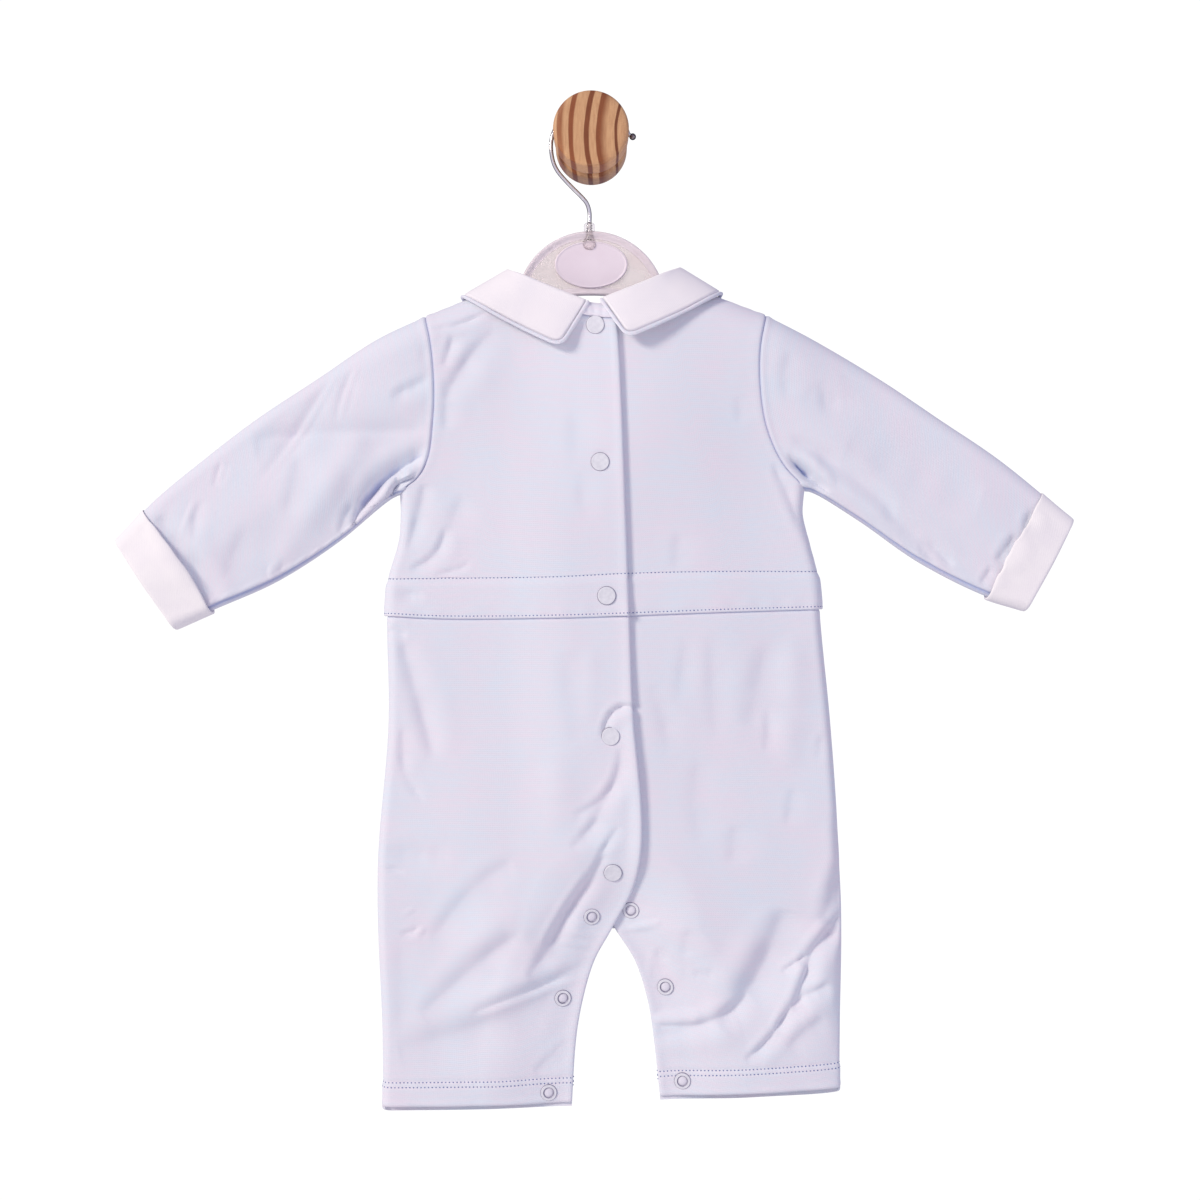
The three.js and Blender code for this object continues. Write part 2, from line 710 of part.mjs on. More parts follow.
// Turned-back cuff: a band round the sleeve's end and a lip that closes over the sleeve's raw end.
function cuff(side, column) {
  const at = sleeveSurface(side);
  const length = curve(side.sleeveTop);
  const total = Math.hypot(...[0, 1].map((k) => length(1)[k] - length(0)[k]));
  const sAt = (mm) => 1 + mm / total;
  const out = CLOTH + CUFF_CLEARANCE;
  const profile = [
    { s: sAt(-CUFF_DEPTH + 1), off: out },
    { s: sAt(-CUFF_DEPTH), off: out + 0.6 },
    { s: sAt(-CUFF_DEPTH), off: out + CUFF_CLOTH },
    { s: sAt(0), off: out + CUFF_CLOTH },
    { s: sAt(1.6), off: out + CUFF_CLOTH - 0.8 },
    { s: sAt(1.8), off: 0.2 },
    { s: sAt(0.4), off: 0.2 },
    { s: sAt(0.4), off: out },
  ];
  const extended = (s, t) => {
    if (s <= 1) return at(s, t);
    const p = at(1, t);
    return p.add(p.clone().sub(at(0.98, t)).multiplyScalar((s - 1) / 0.02));
  };
  const E = 0.01;
  const normalAt = (s, t) => {
    const along = extended(Math.min(s, 1), t).sub(extended(Math.min(s, 1) - E, t));
    const round = at(Math.min(s, 1), t + E).sub(at(Math.min(s, 1), t - E));
    return along.cross(round).multiplyScalar(-side.sign).normalize();
  };
  const points = profile.flatMap(({ s, off }) =>
    turns.map((t) => extended(s, t).addScaledVector(normalAt(s, t), off)),
  );
  const n = turns.length;
  const faces = [];
  profile.forEach((_, j) => {
    const next = (j + 1) % profile.length;
    turns.forEach((_, i) => {
      const k = (i + 1) % n;
      const q = [j * n + i, j * n + k, next * n + k, next * n + i];
      if (side === LEFT) faces.push(q[0], q[2], q[1], q[0], q[3], q[2]);
      else faces.push(q[0], q[1], q[2], q[0], q[2], q[3]);
    });
  });
  return mesh(`cuff_${column}`, indexedGeometry(points, faces), "white");
}

function mesh(name, geometry, material) {
  const made = new THREE.Mesh(geometry, MATERIALS[material]);
  made.name = name;
  return made;
}

// ---- Collar, piping and neckband -------------------------------------------------------------------

const COLLAR_OFF = CLOTH + 0.7; // inner face of the collar above the body's inner face
const COLLAR_ROWS = 4;
const COLLAR_HALF_COLUMNS = 8;
const PIPING_R = 1;
const NECKBAND_HEIGHT = 6.6;

function collarLift(x) {
  return PLACKET_LIFT * ease((x + 36) / 12) * ease((34 - x) / 14);
}

// One half of the collar runs from the centre back over the shoulder to the centre front.
function collarGrid(side) {
  const { foldNeck, foldEnd, tipBack, sign } = side;
  const ridgeEnd = overShoulder(side, side.collarEdgeX, COLLAR_OFF);
  const foldFront = [FRONT_CENTRE_X + sign * 2.4, FRONT_NECK_Z + 8];
  const tipFront = [FRONT_CENTRE_X + sign * 14, -148];
  const along = (a, b, t, sag) => [mix(a[0], b[0], t), mix(a[1], b[1], t) - sag * Math.sin(t * Math.PI)];
  const ts = fractions(COLLAR_HALF_COLUMNS, DENSE_START);
  const rows = fractions(COLLAR_ROWS, EVEN);
  const point = (t, v, front) => {
    const fold = front ? along(foldNeck, foldFront, t, 4) : along(foldNeck, foldEnd, t, 0.6);
    const edge = front ? along(ridgeEnd, tipFront, t, 12) : along(ridgeEnd, tipBack, t, 1.2);
    const corner = 1 - 0.05 * ease((t - 0.8) / 0.2) * ease((v - 0.5) / 0.5);
    const [x, z] = [0, 1].map((k) => mix(fold[k], edge[k], v * corner));
    const d = distanceToSegment([x, z], foldNeck, ridgeEnd);
    const full = lookup(DEPTHS, "z", z, "half") + COLLAR_OFF + (front ? 0 : collarLift(x));
    const h = full * roundIn(d / (SHOULDER_REACH + COLLAR_OFF));
    return new THREE.Vector3(x, Y_MID + (front ? h : -h), z);
  };
  const columns = [
    ...[...ts].reverse().map((t) => ({ t, front: false })),
    ...ts.slice(1).map((t) => ({ t, front: true })),
  ];
  const grid = rows.map((v) => columns.map(({ t, front }) => point(t, v, front)));
  return { grid, columns: columns.length };
}

function collar(side, column) {
  const { grid, columns } = collarGrid(side);
  const quads = gridQuads(grid.length, columns, side === LEFT);
  const made = sheet(`collar_${column}`, grid.flat(), quads, COLLAR_CLOTH, "white");
  const pipe = piping(made, grid.length, columns);
  return [mesh(made.name, wallGeometry(made), "white"), mesh(`piping_${column}`, pipe, "blue")];
}

// Round piping along the collar's two ends and its outer edge, lying just outside the edge.
function piping(made, rows, columns) {
  const SIDES_ROUND = 6;
  const rim = [
    ...fractions(rows - 1, (t) => Math.round(t * (rows - 1)) * columns),
    ...fractions(columns - 1, (t) => (rows - 1) * columns + Math.round(t * (columns - 1))).slice(1),
    ...fractions(rows - 1, (t) => Math.round((1 - t) * (rows - 1)) * columns + columns - 1).slice(1),
  ];
  const mid = rim.map((p) => made.points[p].clone().addScaledVector(made.normals[p], COLLAR_CLOTH / 2));
  const points = [];
  mid.forEach((p, i) => {
    const before = mid[Math.max(0, i - 1)];
    const after = mid[Math.min(mid.length - 1, i + 1)];
    const along = after.clone().sub(before).normalize();
    const normal = made.normals[rim[i]].clone();
    const out = along.clone().cross(normal).normalize();
    const towards = made.points[rim[i]].clone().sub(gridCentre(made, rim[i], rows, columns));
    if (out.dot(towards) < 0) out.negate();
    const core = p.clone().addScaledVector(out, PIPING_R + SEAM_GAP + 0.1);
    for (let k = 0; k < SIDES_ROUND; k++) {
      const a = (k / SIDES_ROUND) * 2 * Math.PI;
      const ringPoint = core.clone().addScaledVector(normal, PIPING_R * Math.cos(a));
      points.push(ringPoint.addScaledVector(out, PIPING_R * Math.sin(a)));
    }
  });
  return sweptTube(points, mid.length, SIDES_ROUND);
}

// Mean of the grid's middle row near the column of a rim point, to tell in from out.
function gridCentre(made, p, rows, columns) {
  const column = Math.min(columns - 2, Math.max(1, p % columns));
  return made.points[Math.floor(rows / 2) * columns + column];
}

// Closed tube through rings of points, turned to face out whichever way the rings run.
function sweptTube(points, stations, around) {
  const faces = [];
  for (let j = 0; j < stations - 1; j++)
    for (let i = 0; i < around; i++) {
      const k = (i + 1) % around;
      const q = [j * around + i, j * around + k, (j + 1) * around + k, (j + 1) * around + i];
      faces.push(q[0], q[1], q[2], q[0], q[2], q[3]);
    }
  for (let i = 1; i < around - 1; i++) {
    const end = (stations - 1) * around;
    faces.push(0, i + 1, i, end, end + i, end + i + 1);
  }
  const volume = signedVolume(points, faces);
  return indexedGeometry(points, volume > 0 ? faces : faces.reverse());
}

function signedVolume(points, faces) {
  let sum = 0;
  for (let i = 0; i < faces.length; i += 3) {
    const [a, b, c] = faces.slice(i, i + 3).map((p) => points[p]);
    sum += a.dot(b.clone().cross(c)) / 6;
  }
  return sum;
}

// Upright strip round the neckline: from the left back's edge, over the front, to the right back's.
function neckband() {
  const centreFront = [FRONT_CENTRE_X, FRONT_NECK_Z];
  const seam = (side, centre) => [side.neck, ...neckline(side, centre, HALF_COLUMNS.neck)];
  const backLeft = seam(LEFT, freeEdge(BACK_NECK_Z, "left")).reverse().map((p) => backPoint(p, true));
  const frontLeft = seam(LEFT, centreFront).slice(1).map(frontPoint);
  const frontRight = seam(RIGHT, centreFront).reverse().slice(1).map(frontPoint);
  const backRight = seam(RIGHT, freeEdge(BACK_NECK_Z, "right")).slice(1).map((p) => backPoint(p, false));
  const low = [...backLeft, ...frontLeft, ...frontRight, ...backRight];
  const high = low.map((p) => p.clone().setZ(p.z + NECKBAND_HEIGHT));
  sheets.push(sheet("neckband", [...high, ...low], gridQuads(2, low.length, true), NECKBAND_CLOTH, "blue"));
}

// ---- Snap fasteners --------------------------------------------------------------------------------

const PLACKET_SNAPS = [
  { x: 2.4, z: -107.4, panel: "back_bodice" },
  { x: 5.1, z: -183.7, panel: "back_bodice" },
  { x: 8.7, z: -258.2, panel: "waistband_back" },
  { x: 11, z: -336.4, panel: "back_leg" },
  { x: 12.4, z: -412.5, panel: "back_leg" },
];
const INSEAM_SNAPS = [
  { name: "left_1", x: 0.2, z: -438.4 },
  { name: "right_1", x: 22.8, z: -435.2 },
  { name: "left_2", x: -16.2, z: -485.2 },
  { name: "right_2", x: 42.2, z: -478.8 },
  { name: "left_3", x: -24.2, z: -538.4 },
  { name: "right_3", x: 51.8, z: -531.8 },
];

// Turned ring or cap whose axis is +Z, laid on a point of the cloth along its normal.
function turned(name, profile, segments, place, normal, material) {
  const geometry = new THREE.LatheGeometry(profile.map(([r, h]) => new THREE.Vector2(r, h)), segments);
  const made = mesh(name, geometry, material);
  made.position.copy(place);
  made.quaternion.setFromUnitVectors(new THREE.Vector3(0, 1, 0), normal);
  return made;
}

// Seat of a disc on a cloth panel: its axis square to the cloth, its centre raised clear of every
// point of the panel under it. The side is -1 on the back and 1 on the front.
function seat(panel, x, z, radius, side) {
  const CLEAR = SEAM_GAP + 0.05;
  const ray = new THREE.Raycaster();
  const touch = (share, turn) => {
    const [px, pz] = [x + share * radius * Math.cos(turn), z + share * radius * Math.sin(turn)];
    ray.set(new THREE.Vector3(px, Y_MID + side * PEG_LENGTH, pz), new THREE.Vector3(0, -side, 0));
    return ray.intersectObject(panel)[0]?.point;
  };
  const around = (share) => fractions(8, (t) => touch(share, t * 2 * Math.PI));
  const near = around(0.6);
  const axis = near[0].clone().sub(near[4]).cross(near[2].clone().sub(near[6]));
  axis.normalize().multiplyScalar(Math.sign(axis.y) * side);
  const point = touch(0, 0);
  const heights = [...near, ...around(1)].filter(Boolean).map((p) => p.sub(point).dot(axis));
  return { point: point.addScaledVector(axis, Math.max(0, ...heights) + CLEAR), axis };
}

const CAP_PROFILE = [[0, 0], [CAP_R - 0.4, 0], [CAP_R, 0.5], [CAP_R - 0.5, 1.2], [0, 1.35]];
const RING_PROFILE = [
  [RING_HOLE_R, 0],
  [RING_R, 0],
  [RING_R, 0.5],
  [RING_R - 0.7, 1],
  [RING_HOLE_R + 0.5, 1],
  [RING_HOLE_R, 0.5],
  [RING_HOLE_R, 0],
];
const STUD_PROFILE = [[0, 0], [STUD_R, 0], [STUD_R, 0.5], [0, 0.5]];

function snaps(panels) {
  const parts = [];
  const add = (name, profile, segments, { point, axis }) =>
    parts.push(turned(name, profile, segments, point, axis, "snap"));
  PLACKET_SNAPS.forEach(({ x, z, panel }, i) => {
    const over = seat(panels.get(`${panel}_left`), x, z, CAP_R, -1);
    add(`snap_cap_${i + 1}`, CAP_PROFILE, 14, over);
    if (panel === "waistband_back") return; // no room for a stud between the two bands
    add(`snap_stud_${i + 1}`, STUD_PROFILE, 10, seat(panels.get(`${panel}_right`), x, z, STUD_R, -1));
  });
  INSEAM_SNAPS.forEach(({ name, x, z }) => {
    const back = panels.get(`back_leg_${name.split("_")[0]}`);
    add(`snap_ring_${name}`, RING_PROFILE, 12, seat(back, x, z, RING_R, -1));
    add(`snap_front_${name}`, CAP_PROFILE, 10, seat(panels.get("front_legs"), x, z, CAP_R, 1));
  });
  return parts;
}

// ---- Hanger and peg --------------------------------------------------------------------------------

// A mesh's geometry as a solid, for joining and cutting.
function solidOf(geometry) {
  const bare = geometry.index ? geometry.toNonIndexed() : geometry.clone();
  const only = new THREE.BufferGeometry().setAttribute("position", bare.getAttribute("position"));
  const merged = mergeVertices(only, 1e-4);
  return new wasm.Manifold(
    new wasm.Mesh({
      numProp: 3,
      vertProperties: new Float32Array(merged.attributes.position.array),
      triVerts: new Uint32Array(merged.index.array),
    }),
  );
}

function geometryOf(solid) {
  const made = solid.getMesh();
  const geometry = new THREE.BufferGeometry();
  geometry.setAttribute("position", new THREE.Float32BufferAttribute(made.vertProperties, 3));
  geometry.setIndex([...made.triVerts]);
  return geometry;
}

// An X-Z outline extruded across Y, centred on the given plane.
function slab(outline, thickness, y) {
  const how = { depth: thickness, bevelEnabled: false, curveSegments: 12 };
  const geometry = new THREE.ExtrudeGeometry(outline, how);
  geometry.rotateX(Math.PI / 2);
  geometry.translate(0, y + thickness / 2, 0);
  return geometry;
}

// The hanger's outline, drawn inwards by a margin: a round head, two sloping arms with round ends
// and an arched foot.
function hangerOutline(margin) {
  const DROP = 1.9; // below the shoulder seams, so that its edges clear the cloth as it closes in
  const NECK_DROP = DROP + 0.8;
  const HEAD_SPREAD = 0.39; // how far below level the round head runs down to the arms
  const ARM = 12; // depth of an arm's end
  const ARCH_Z = -88.3;
  const arms = [LEFT, RIGHT].map((s) => ({
    sign: s.sign,
    in: overShoulder(s, s.neck[0] * 0.93, -NECK_DROP - margin),
    out: overShoulder(s, s.tip[0] * 0.93, -DROP - margin),
  }));
  const [left, right] = arms;
  const shape = new THREE.Shape();
  const armEnd = ({ sign, out: [x, z] }) => ({
    end: [x - sign * margin, z - ARM / 2],
    above: [x - sign * margin, z],
    upper: [x - sign * (5 + margin), z + 2],
    below: [x - sign * margin, z - ARM - 1 + margin],
    lower: [x - sign * 8, z - ARM + margin],
  });
  const [l, r] = [armEnd(left), armEnd(right)];
  shape.moveTo(...l.end);
  shape.quadraticCurveTo(...l.above, ...l.upper);
  shape.lineTo(...left.in);
  for (let i = 0; i <= 20; i++) {
    const a = mix(Math.PI - HEAD_SPREAD, HEAD_SPREAD, i / 20);
    shape.lineTo((DOME_R - margin) * Math.cos(a), DOME_Z + (DOME_R - margin) * Math.sin(a));
  }
  shape.lineTo(...right.in);
  shape.lineTo(...r.upper);
  shape.quadraticCurveTo(...r.above, ...r.end);
  shape.quadraticCurveTo(...r.below, ...r.lower);
  shape.quadraticCurveTo(40, ARCH_Z + margin, 0, ARCH_Z + margin);
  shape.quadraticCurveTo(-40, ARCH_Z + margin, ...l.lower);
  shape.quadraticCurveTo(...l.below, ...l.end);
  return shape;
}

function hanger() {
  const pocketDepth = (HANGER_T - HANGER_WEB) / 2;
  const pocketY = (HANGER_T + 1 - pocketDepth) / 2;
  const pockets = [-1, 1].map((side) =>
    solidOf(slab(hangerOutline(HANGER_RIM), pocketDepth + 1, Y_MID + side * pocketY)),
  );
  const bossProfile = [
    [0, 0],
    [BOSS_R - 0.7, 0],
    [BOSS_R, 0.8],
    [BOSS_R, 14.8],
    [BOSS_R - 0.7, 16],
    [0, 16],
  ];
  const boss = new THREE.LatheGeometry(bossProfile.map(([r, h]) => new THREE.Vector2(r, h)), 16);
  boss.rotateX(Math.PI / 2);
  boss.translate(STEM_X, Y_MID, WIRE_END_Z - 2.5);
  const hole = new THREE.CylinderGeometry(WIRE_R + 0.25, WIRE_R + 0.25, 20, 12);
  hole.rotateX(Math.PI / 2);
  hole.translate(STEM_X, Y_MID, WIRE_END_Z + 10 - 0.4);
  let body = solidOf(slab(hangerOutline(0), HANGER_T, Y_MID));
  pockets.forEach((pocket) => (body = body.subtract(pocket)));
  body = body.add(solidOf(boss)).subtract(solidOf(hole));
  return mesh("hanger", geometryOf(body), "clear");
}

function label() {
  const outline = new THREE.Shape();
  outline.absellipse(0, LABEL.z, LABEL.halfWidth, LABEL.halfHeight, 0, 2 * Math.PI, false, 0);
  const thickness = 1.2;
  const y = Y_MID - HANGER_WEB / 2 - SEAM_GAP - thickness / 2;
  const bossCut = new THREE.CylinderGeometry(BOSS_R + 0.5, BOSS_R + 0.5, 14.4, 16);
  bossCut.rotateX(Math.PI / 2);
  bossCut.translate(STEM_X, Y_MID, -57.2);
  const plate = solidOf(slab(outline, thickness, y)).subtract(solidOf(bossCut));
  return mesh("hanger_label", geometryOf(plate), "label");
}

function hook() {
  const loop = fractions(12, (t) => mix(Math.PI, HOOK_END, t)).map((a) => [
    HOOK_R * Math.cos(a),
    HOOK_Z + HOOK_R * Math.sin(a),
  ]);
  const stem = [
    [STEM_X, WIRE_END_Z],
    [STEM_X, -50],
    [STEM_X, -42.5],
    [-4.9, -34.6],
    [-10.2, -29.2],
    [-15.6, -23.8],
    [-20.6, -16.9],
  ];
  const points = [...stem, ...loop].map(([x, z]) => new THREE.Vector3(x, Y_MID, z));
  const path = new THREE.CatmullRomCurve3(points, false, "centripetal");
  const section = new THREE.Shape();
  section.absarc(0, 0, WIRE_R, 0, 2 * Math.PI, false);
  const wire = new THREE.ExtrudeGeometry(section, { steps: 46, curveSegments: 4, extrudePath: path });
  const ball = new THREE.SphereGeometry(1.9, 12, 8);
  ball.translate(...points[points.length - 1]);
  return mesh("hook", geometryOf(solidOf(wire).add(solidOf(ball))), "steel");
}

function peg() {
  const [back, front] = [PEG_GROOVE[1], PEG_GROOVE[0]];
  const profile = [
    [0, 0],
    [PEG_BASE_R, 0],
    [PEG_BASE_R, -back - 1.5],
    [PEG_BASE_R - 1.5, -back],
    [PEG_NECK_R, -back],
    [PEG_NECK_R, -front],
    [PEG_HEAD_R - 1.5, -front],
    [PEG_HEAD_R, -front + 1.5],
    [PEG_HEAD_R, PEG_LENGTH - 1.6],
    [PEG_HEAD_R - 1.6, PEG_LENGTH],
    [0, PEG_LENGTH],
  ].map(([r, h]) => new THREE.Vector2(r, h));
  const geometry = new THREE.LatheGeometry(profile, 28);
  const made = mesh("peg", geometry, "wood");
  made.rotation.x = Math.PI;
  return made;
}

// ---- The whole part --------------------------------------------------------------------------------

backBodice(LEFT, "left");
backBodice(RIGHT, "right");
frontBodice();
waistbands();
backLeg(LEFT, "left");
backLeg(RIGHT, "right");
frontLegs();
sleeve(LEFT, "left");
sleeve(RIGHT, "right");
neckband();
matchSeamNormals(sheets);
sheets.forEach(drawInEdges);

const romper = new THREE.Group();
romper.name = "romper_on_hanger_and_peg";
sheets.forEach((s) => romper.add(mesh(s.name, wallGeometry(s), s.material)));
romper.add(cuff(LEFT, "left"), cuff(RIGHT, "right"));
romper.add(...collar(LEFT, "left"), ...collar(RIGHT, "right"));
romper.add(...snaps(new Map(romper.children.map((piece) => [piece.name, piece]))));
romper.add(hanger(), label(), hook(), peg());

export default romper;
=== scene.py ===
import math

import bmesh
import bpy
import numpy as np
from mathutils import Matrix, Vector
from mathutils.geometry import tessellate_polygon


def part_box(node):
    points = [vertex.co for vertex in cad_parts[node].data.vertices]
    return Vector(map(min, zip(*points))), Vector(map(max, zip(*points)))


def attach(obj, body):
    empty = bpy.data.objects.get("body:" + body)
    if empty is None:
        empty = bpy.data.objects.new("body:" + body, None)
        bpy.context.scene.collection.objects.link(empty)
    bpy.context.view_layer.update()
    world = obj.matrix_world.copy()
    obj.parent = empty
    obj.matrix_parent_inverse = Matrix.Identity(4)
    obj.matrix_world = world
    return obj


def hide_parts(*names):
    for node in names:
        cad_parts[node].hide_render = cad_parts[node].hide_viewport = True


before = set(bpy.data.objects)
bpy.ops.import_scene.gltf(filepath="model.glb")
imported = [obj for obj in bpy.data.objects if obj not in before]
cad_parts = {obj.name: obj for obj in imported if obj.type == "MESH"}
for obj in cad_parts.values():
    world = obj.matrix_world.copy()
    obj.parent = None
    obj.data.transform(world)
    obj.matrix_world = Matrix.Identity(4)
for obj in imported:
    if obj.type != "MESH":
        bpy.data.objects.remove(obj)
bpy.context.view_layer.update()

# ---- Studio -----------------------------------------------------------------------------------------
# Catalogue studio light: one broad soft key from the upper left, a weak fill from the right, a small spot on
# the peg from below, an even white surround, and a pale floor.


def linear(hex_colour):
    """An sRGB hex colour as the linear colour that shaders take."""
    parts = [int(hex_colour[i : i + 2], 16) / 255 for i in (1, 3, 5)]
    return [c / 12.92 if c <= 0.04045 else ((c + 0.055) / 1.055) ** 2.4 for c in parts] + [1]


def add_node(tree, kind, inputs=None, **settings):
    """Adds a node, applies its settings, and sets its inputs by name or number, or links them: to a socket,
    or to a node's first output. A kind with no family in its name is a shader node. The setting stops holds
    a colour ramp's (place, hex colour) pairs."""
    made = tree.nodes.new(kind if "Node" in kind else "ShaderNode" + kind)
    for number, (at, colour) in enumerate(settings.pop("stops", ())):
        elements = made.color_ramp.elements
        stop = elements[number] if number < len(elements) else elements.new(at)
        stop.position, stop.color = at, linear(colour)
    for key, value in settings.items():
        setattr(made, key, value)
    for key, value in (inputs or {}).items():
        value = value.outputs[0] if isinstance(value, bpy.types.Node) else value
        if isinstance(value, bpy.types.NodeSocket):
            tree.links.new(value, made.inputs[key])
        else:
            made.inputs[key].default_value = value
    return made


def new_tree(name):
    """An empty material and its node tree."""
    made = bpy.data.materials.new(name)
    made.use_nodes = True
    made.node_tree.nodes.clear()
    return made, made.node_tree


def finish_shader(tree, **inputs):
    """Ends a material in one Principled shader with these inputs, named with _ for spaces."""
    named = {key.replace("_", " "): value for key, value in inputs.items()}
    shader = add_node(tree, "BsdfPrincipled", named)
    add_node(tree, "OutputMaterial", {"Surface": shader})


def area_light(name, place, target, size, watts, colour):
    light = bpy.data.lights.new(name, "AREA")
    light.shape = "RECTANGLE"
    light.size, light.size_y = size
    light.energy = watts
    light.color = linear(colour)[:3]
    made = bpy.data.objects.new(name, light)
    made.location = place
    made.rotation_mode = "QUATERNION"
    made.rotation_quaternion = (Vector(target) - Vector(place)).to_track_quat("-Z", "Y")
    bpy.context.scene.collection.objects.link(made)


lens = bpy.data.cameras.new("camera")
lens.lens, lens.sensor_width = 45.6, 36
lens.clip_start, lens.clip_end = 0.01, 50
camera = bpy.data.objects.new("camera", lens)
camera.location = (0.005, -0.88, -0.2606)
camera.rotation_euler = (math.pi / 2, 0, 0)
bpy.context.scene.collection.objects.link(camera)
bpy.context.scene.camera = camera
bpy.context.scene.view_settings.view_transform = "Standard"

area_light("key", (-4.354, -3.641, 2.295), (0, 0, -0.27), (1.5, 1.5), 278, "#fff6e5")
area_light("fill", (1.5, -1.3, -0.3), (0, 0, -0.3), (1.2, 1.2), 5.0, "#fff6f4")
lamp = bpy.data.lights.new("peg_spot", "SPOT")
lamp.energy, lamp.spot_size, lamp.spot_blend, lamp.shadow_soft_size = 45, math.radians(3.4), 1.0, 0.04
lamp.color = linear("#fff4e6")[:3]
spot = bpy.data.objects.new("peg_spot", lamp)
spot.location = (0, -0.29, -0.94)
spot.rotation_mode = "QUATERNION"
spot.rotation_quaternion = Vector((0, 0.272, 0.972)).to_track_quat("-Z", "Y")
bpy.context.scene.collection.objects.link(spot)

world = bpy.data.worlds.new("white_surround")
world.use_nodes = True
world.node_tree.nodes.clear()
lighting = add_node(world.node_tree, "Background", {"Color": linear("#e2e1ff"), "Strength": 0.55})
seen = add_node(world.node_tree, "Background", {"Color": linear("#ffffff"), "Strength": 1.05})
rays = add_node(world.node_tree, "LightPath")
direct = add_node(
    world.node_tree, "Math", {0: rays.outputs["Is Camera Ray"], 1: rays.outputs["Is Transmission Ray"]},
    operation="MAXIMUM",
)
surround = add_node(world.node_tree, "MixShader", {0: direct, 1: lighting, 2: seen})
add_node(world.node_tree, "OutputWorld", {"Surface": surround})
bpy.context.scene.world = world

floor_paint, tree = new_tree("studio_floor")
place = add_node(tree, "TexCoord").outputs["Object"]
cloudy = add_node(tree, "TexNoise", {"Vector": place, "Scale": 3.0, "Detail": 4.0})
paint = add_node(tree, "ValToRGB", {"Fac": cloudy}, stops=[(0.3, "#eeeeec"), (0.7, "#f6f6f5")])
finish_shader(tree, Base_Color=paint, Roughness=0.8)
floor_mesh = bpy.data.meshes.new("studio_floor")
floor_mesh.from_pydata([(-1.6, -1.7, -1), (1.6, -1.7, -1), (1.6, 0.9, -1), (-1.6, 0.9, -1)], [], [(0, 1, 2, 3)])
floor_mesh.materials.append(floor_paint)
floor = bpy.data.objects.new("studio_floor", floor_mesh)
bpy.context.scene.collection.objects.link(floor)

# ---- Back bodice ------------------------------------------------------------------------------------
# Two pieces of pale blue cotton interlock, cut to the outlines below. The left laps over the right along
# the centre back. They hang from the shoulders, held apart from the front by the hanger and by their own
# stiffness.

CLOTH = 1.2
Y_MID = -20.0
PLACKET_LIFT = 2.9
SIDE_REACH, SHOULDER_REACH = 4.2, 14
INSEAM_FLAT, INSEAM_REACH, INSEAM_HALF = 7, 42, 0.4
CROTCH = (12.4, -444.5)
UNDERARM_SHARE, SHOULDER_SHARE = 0.68, 0.36

# Height, then half the space between front and back.
DEPTHS = np.array([(-548, 4.5), (-520, 6.5), (-480, 9), (-400, 10.5), (-260, 11), (-150, 11), (-70, 10.5)])
# Height, then the left and right side folds.
SIDES = np.array([
    (-548, -116.6, 139.4),
    (-500, -117, 139.8),
    (-440, -119.4, 140.6),
    (-400, -119, 138.8),
    (-330, -113.4, 134),
    (-272, -114.2, 128.4),
    (-250, -113.6, 127.4),
    (-228, -107.6, 122),
    (-212, -106.4, 118.4),
    (-197, -107, 119.4),
])
# Height, then the free edge of the left and of the right back: centre edge, then inside leg.
FREE_EDGES = np.array([
    (-548, -11, 39.6),
    (-510, -8.6, 35.6),
    (-487, -4.8, 32),
    (-464, 2, 24.6),
    (-444.5, 12.4, 12.4),
    (-424, 23, 3),
    (-402, 27.8, -1),
    (-374, 28, -2),
    (-325, 23.5, -1.5),
    (-268, 21.4, -3),
    (-204, 19, -6),
    (-160, 17.4, -8),
    (-112, 14.9, -9.5),
    (-96, 12.4, -10),
])
# Place across, then the heights of the waistband's two seams.
WAIST = np.array([
    (-116, -248.7, -269.6),
    (-80, -248.2, -271.2),
    (-20, -247.4, -270.6),
    (22, -245.4, -269.4),
    (70, -244.4, -267.6),
    (129, -244.4, -265.8),
])
BACK_NECK_Z = -103.6
LEFT = {
    "name": "left", "sign": -1, "column": 1, "low_reach": 0, "tip": (-93.2, -101.6), "neck": (-47, -82.8),
    "armhole": [
        (-93.2, -101.6), (-89.6, -117), (-87.7, -143), (-88.8, -162.5), (-91.6, -181), (-97.6, -192), (-107, -199),
    ],
}
RIGHT = {
    "name": "right", "sign": 1, "column": 2, "low_reach": 16, "tip": (98.2, -100.9), "neck": (50.8, -82.6),
    "armhole": [
        (98.2, -100.9), (94.9, -116.6), (94.4, -135), (97, -158), (101.6, -172.5), (108.6, -185.4), (119.4, -197),
    ],
}

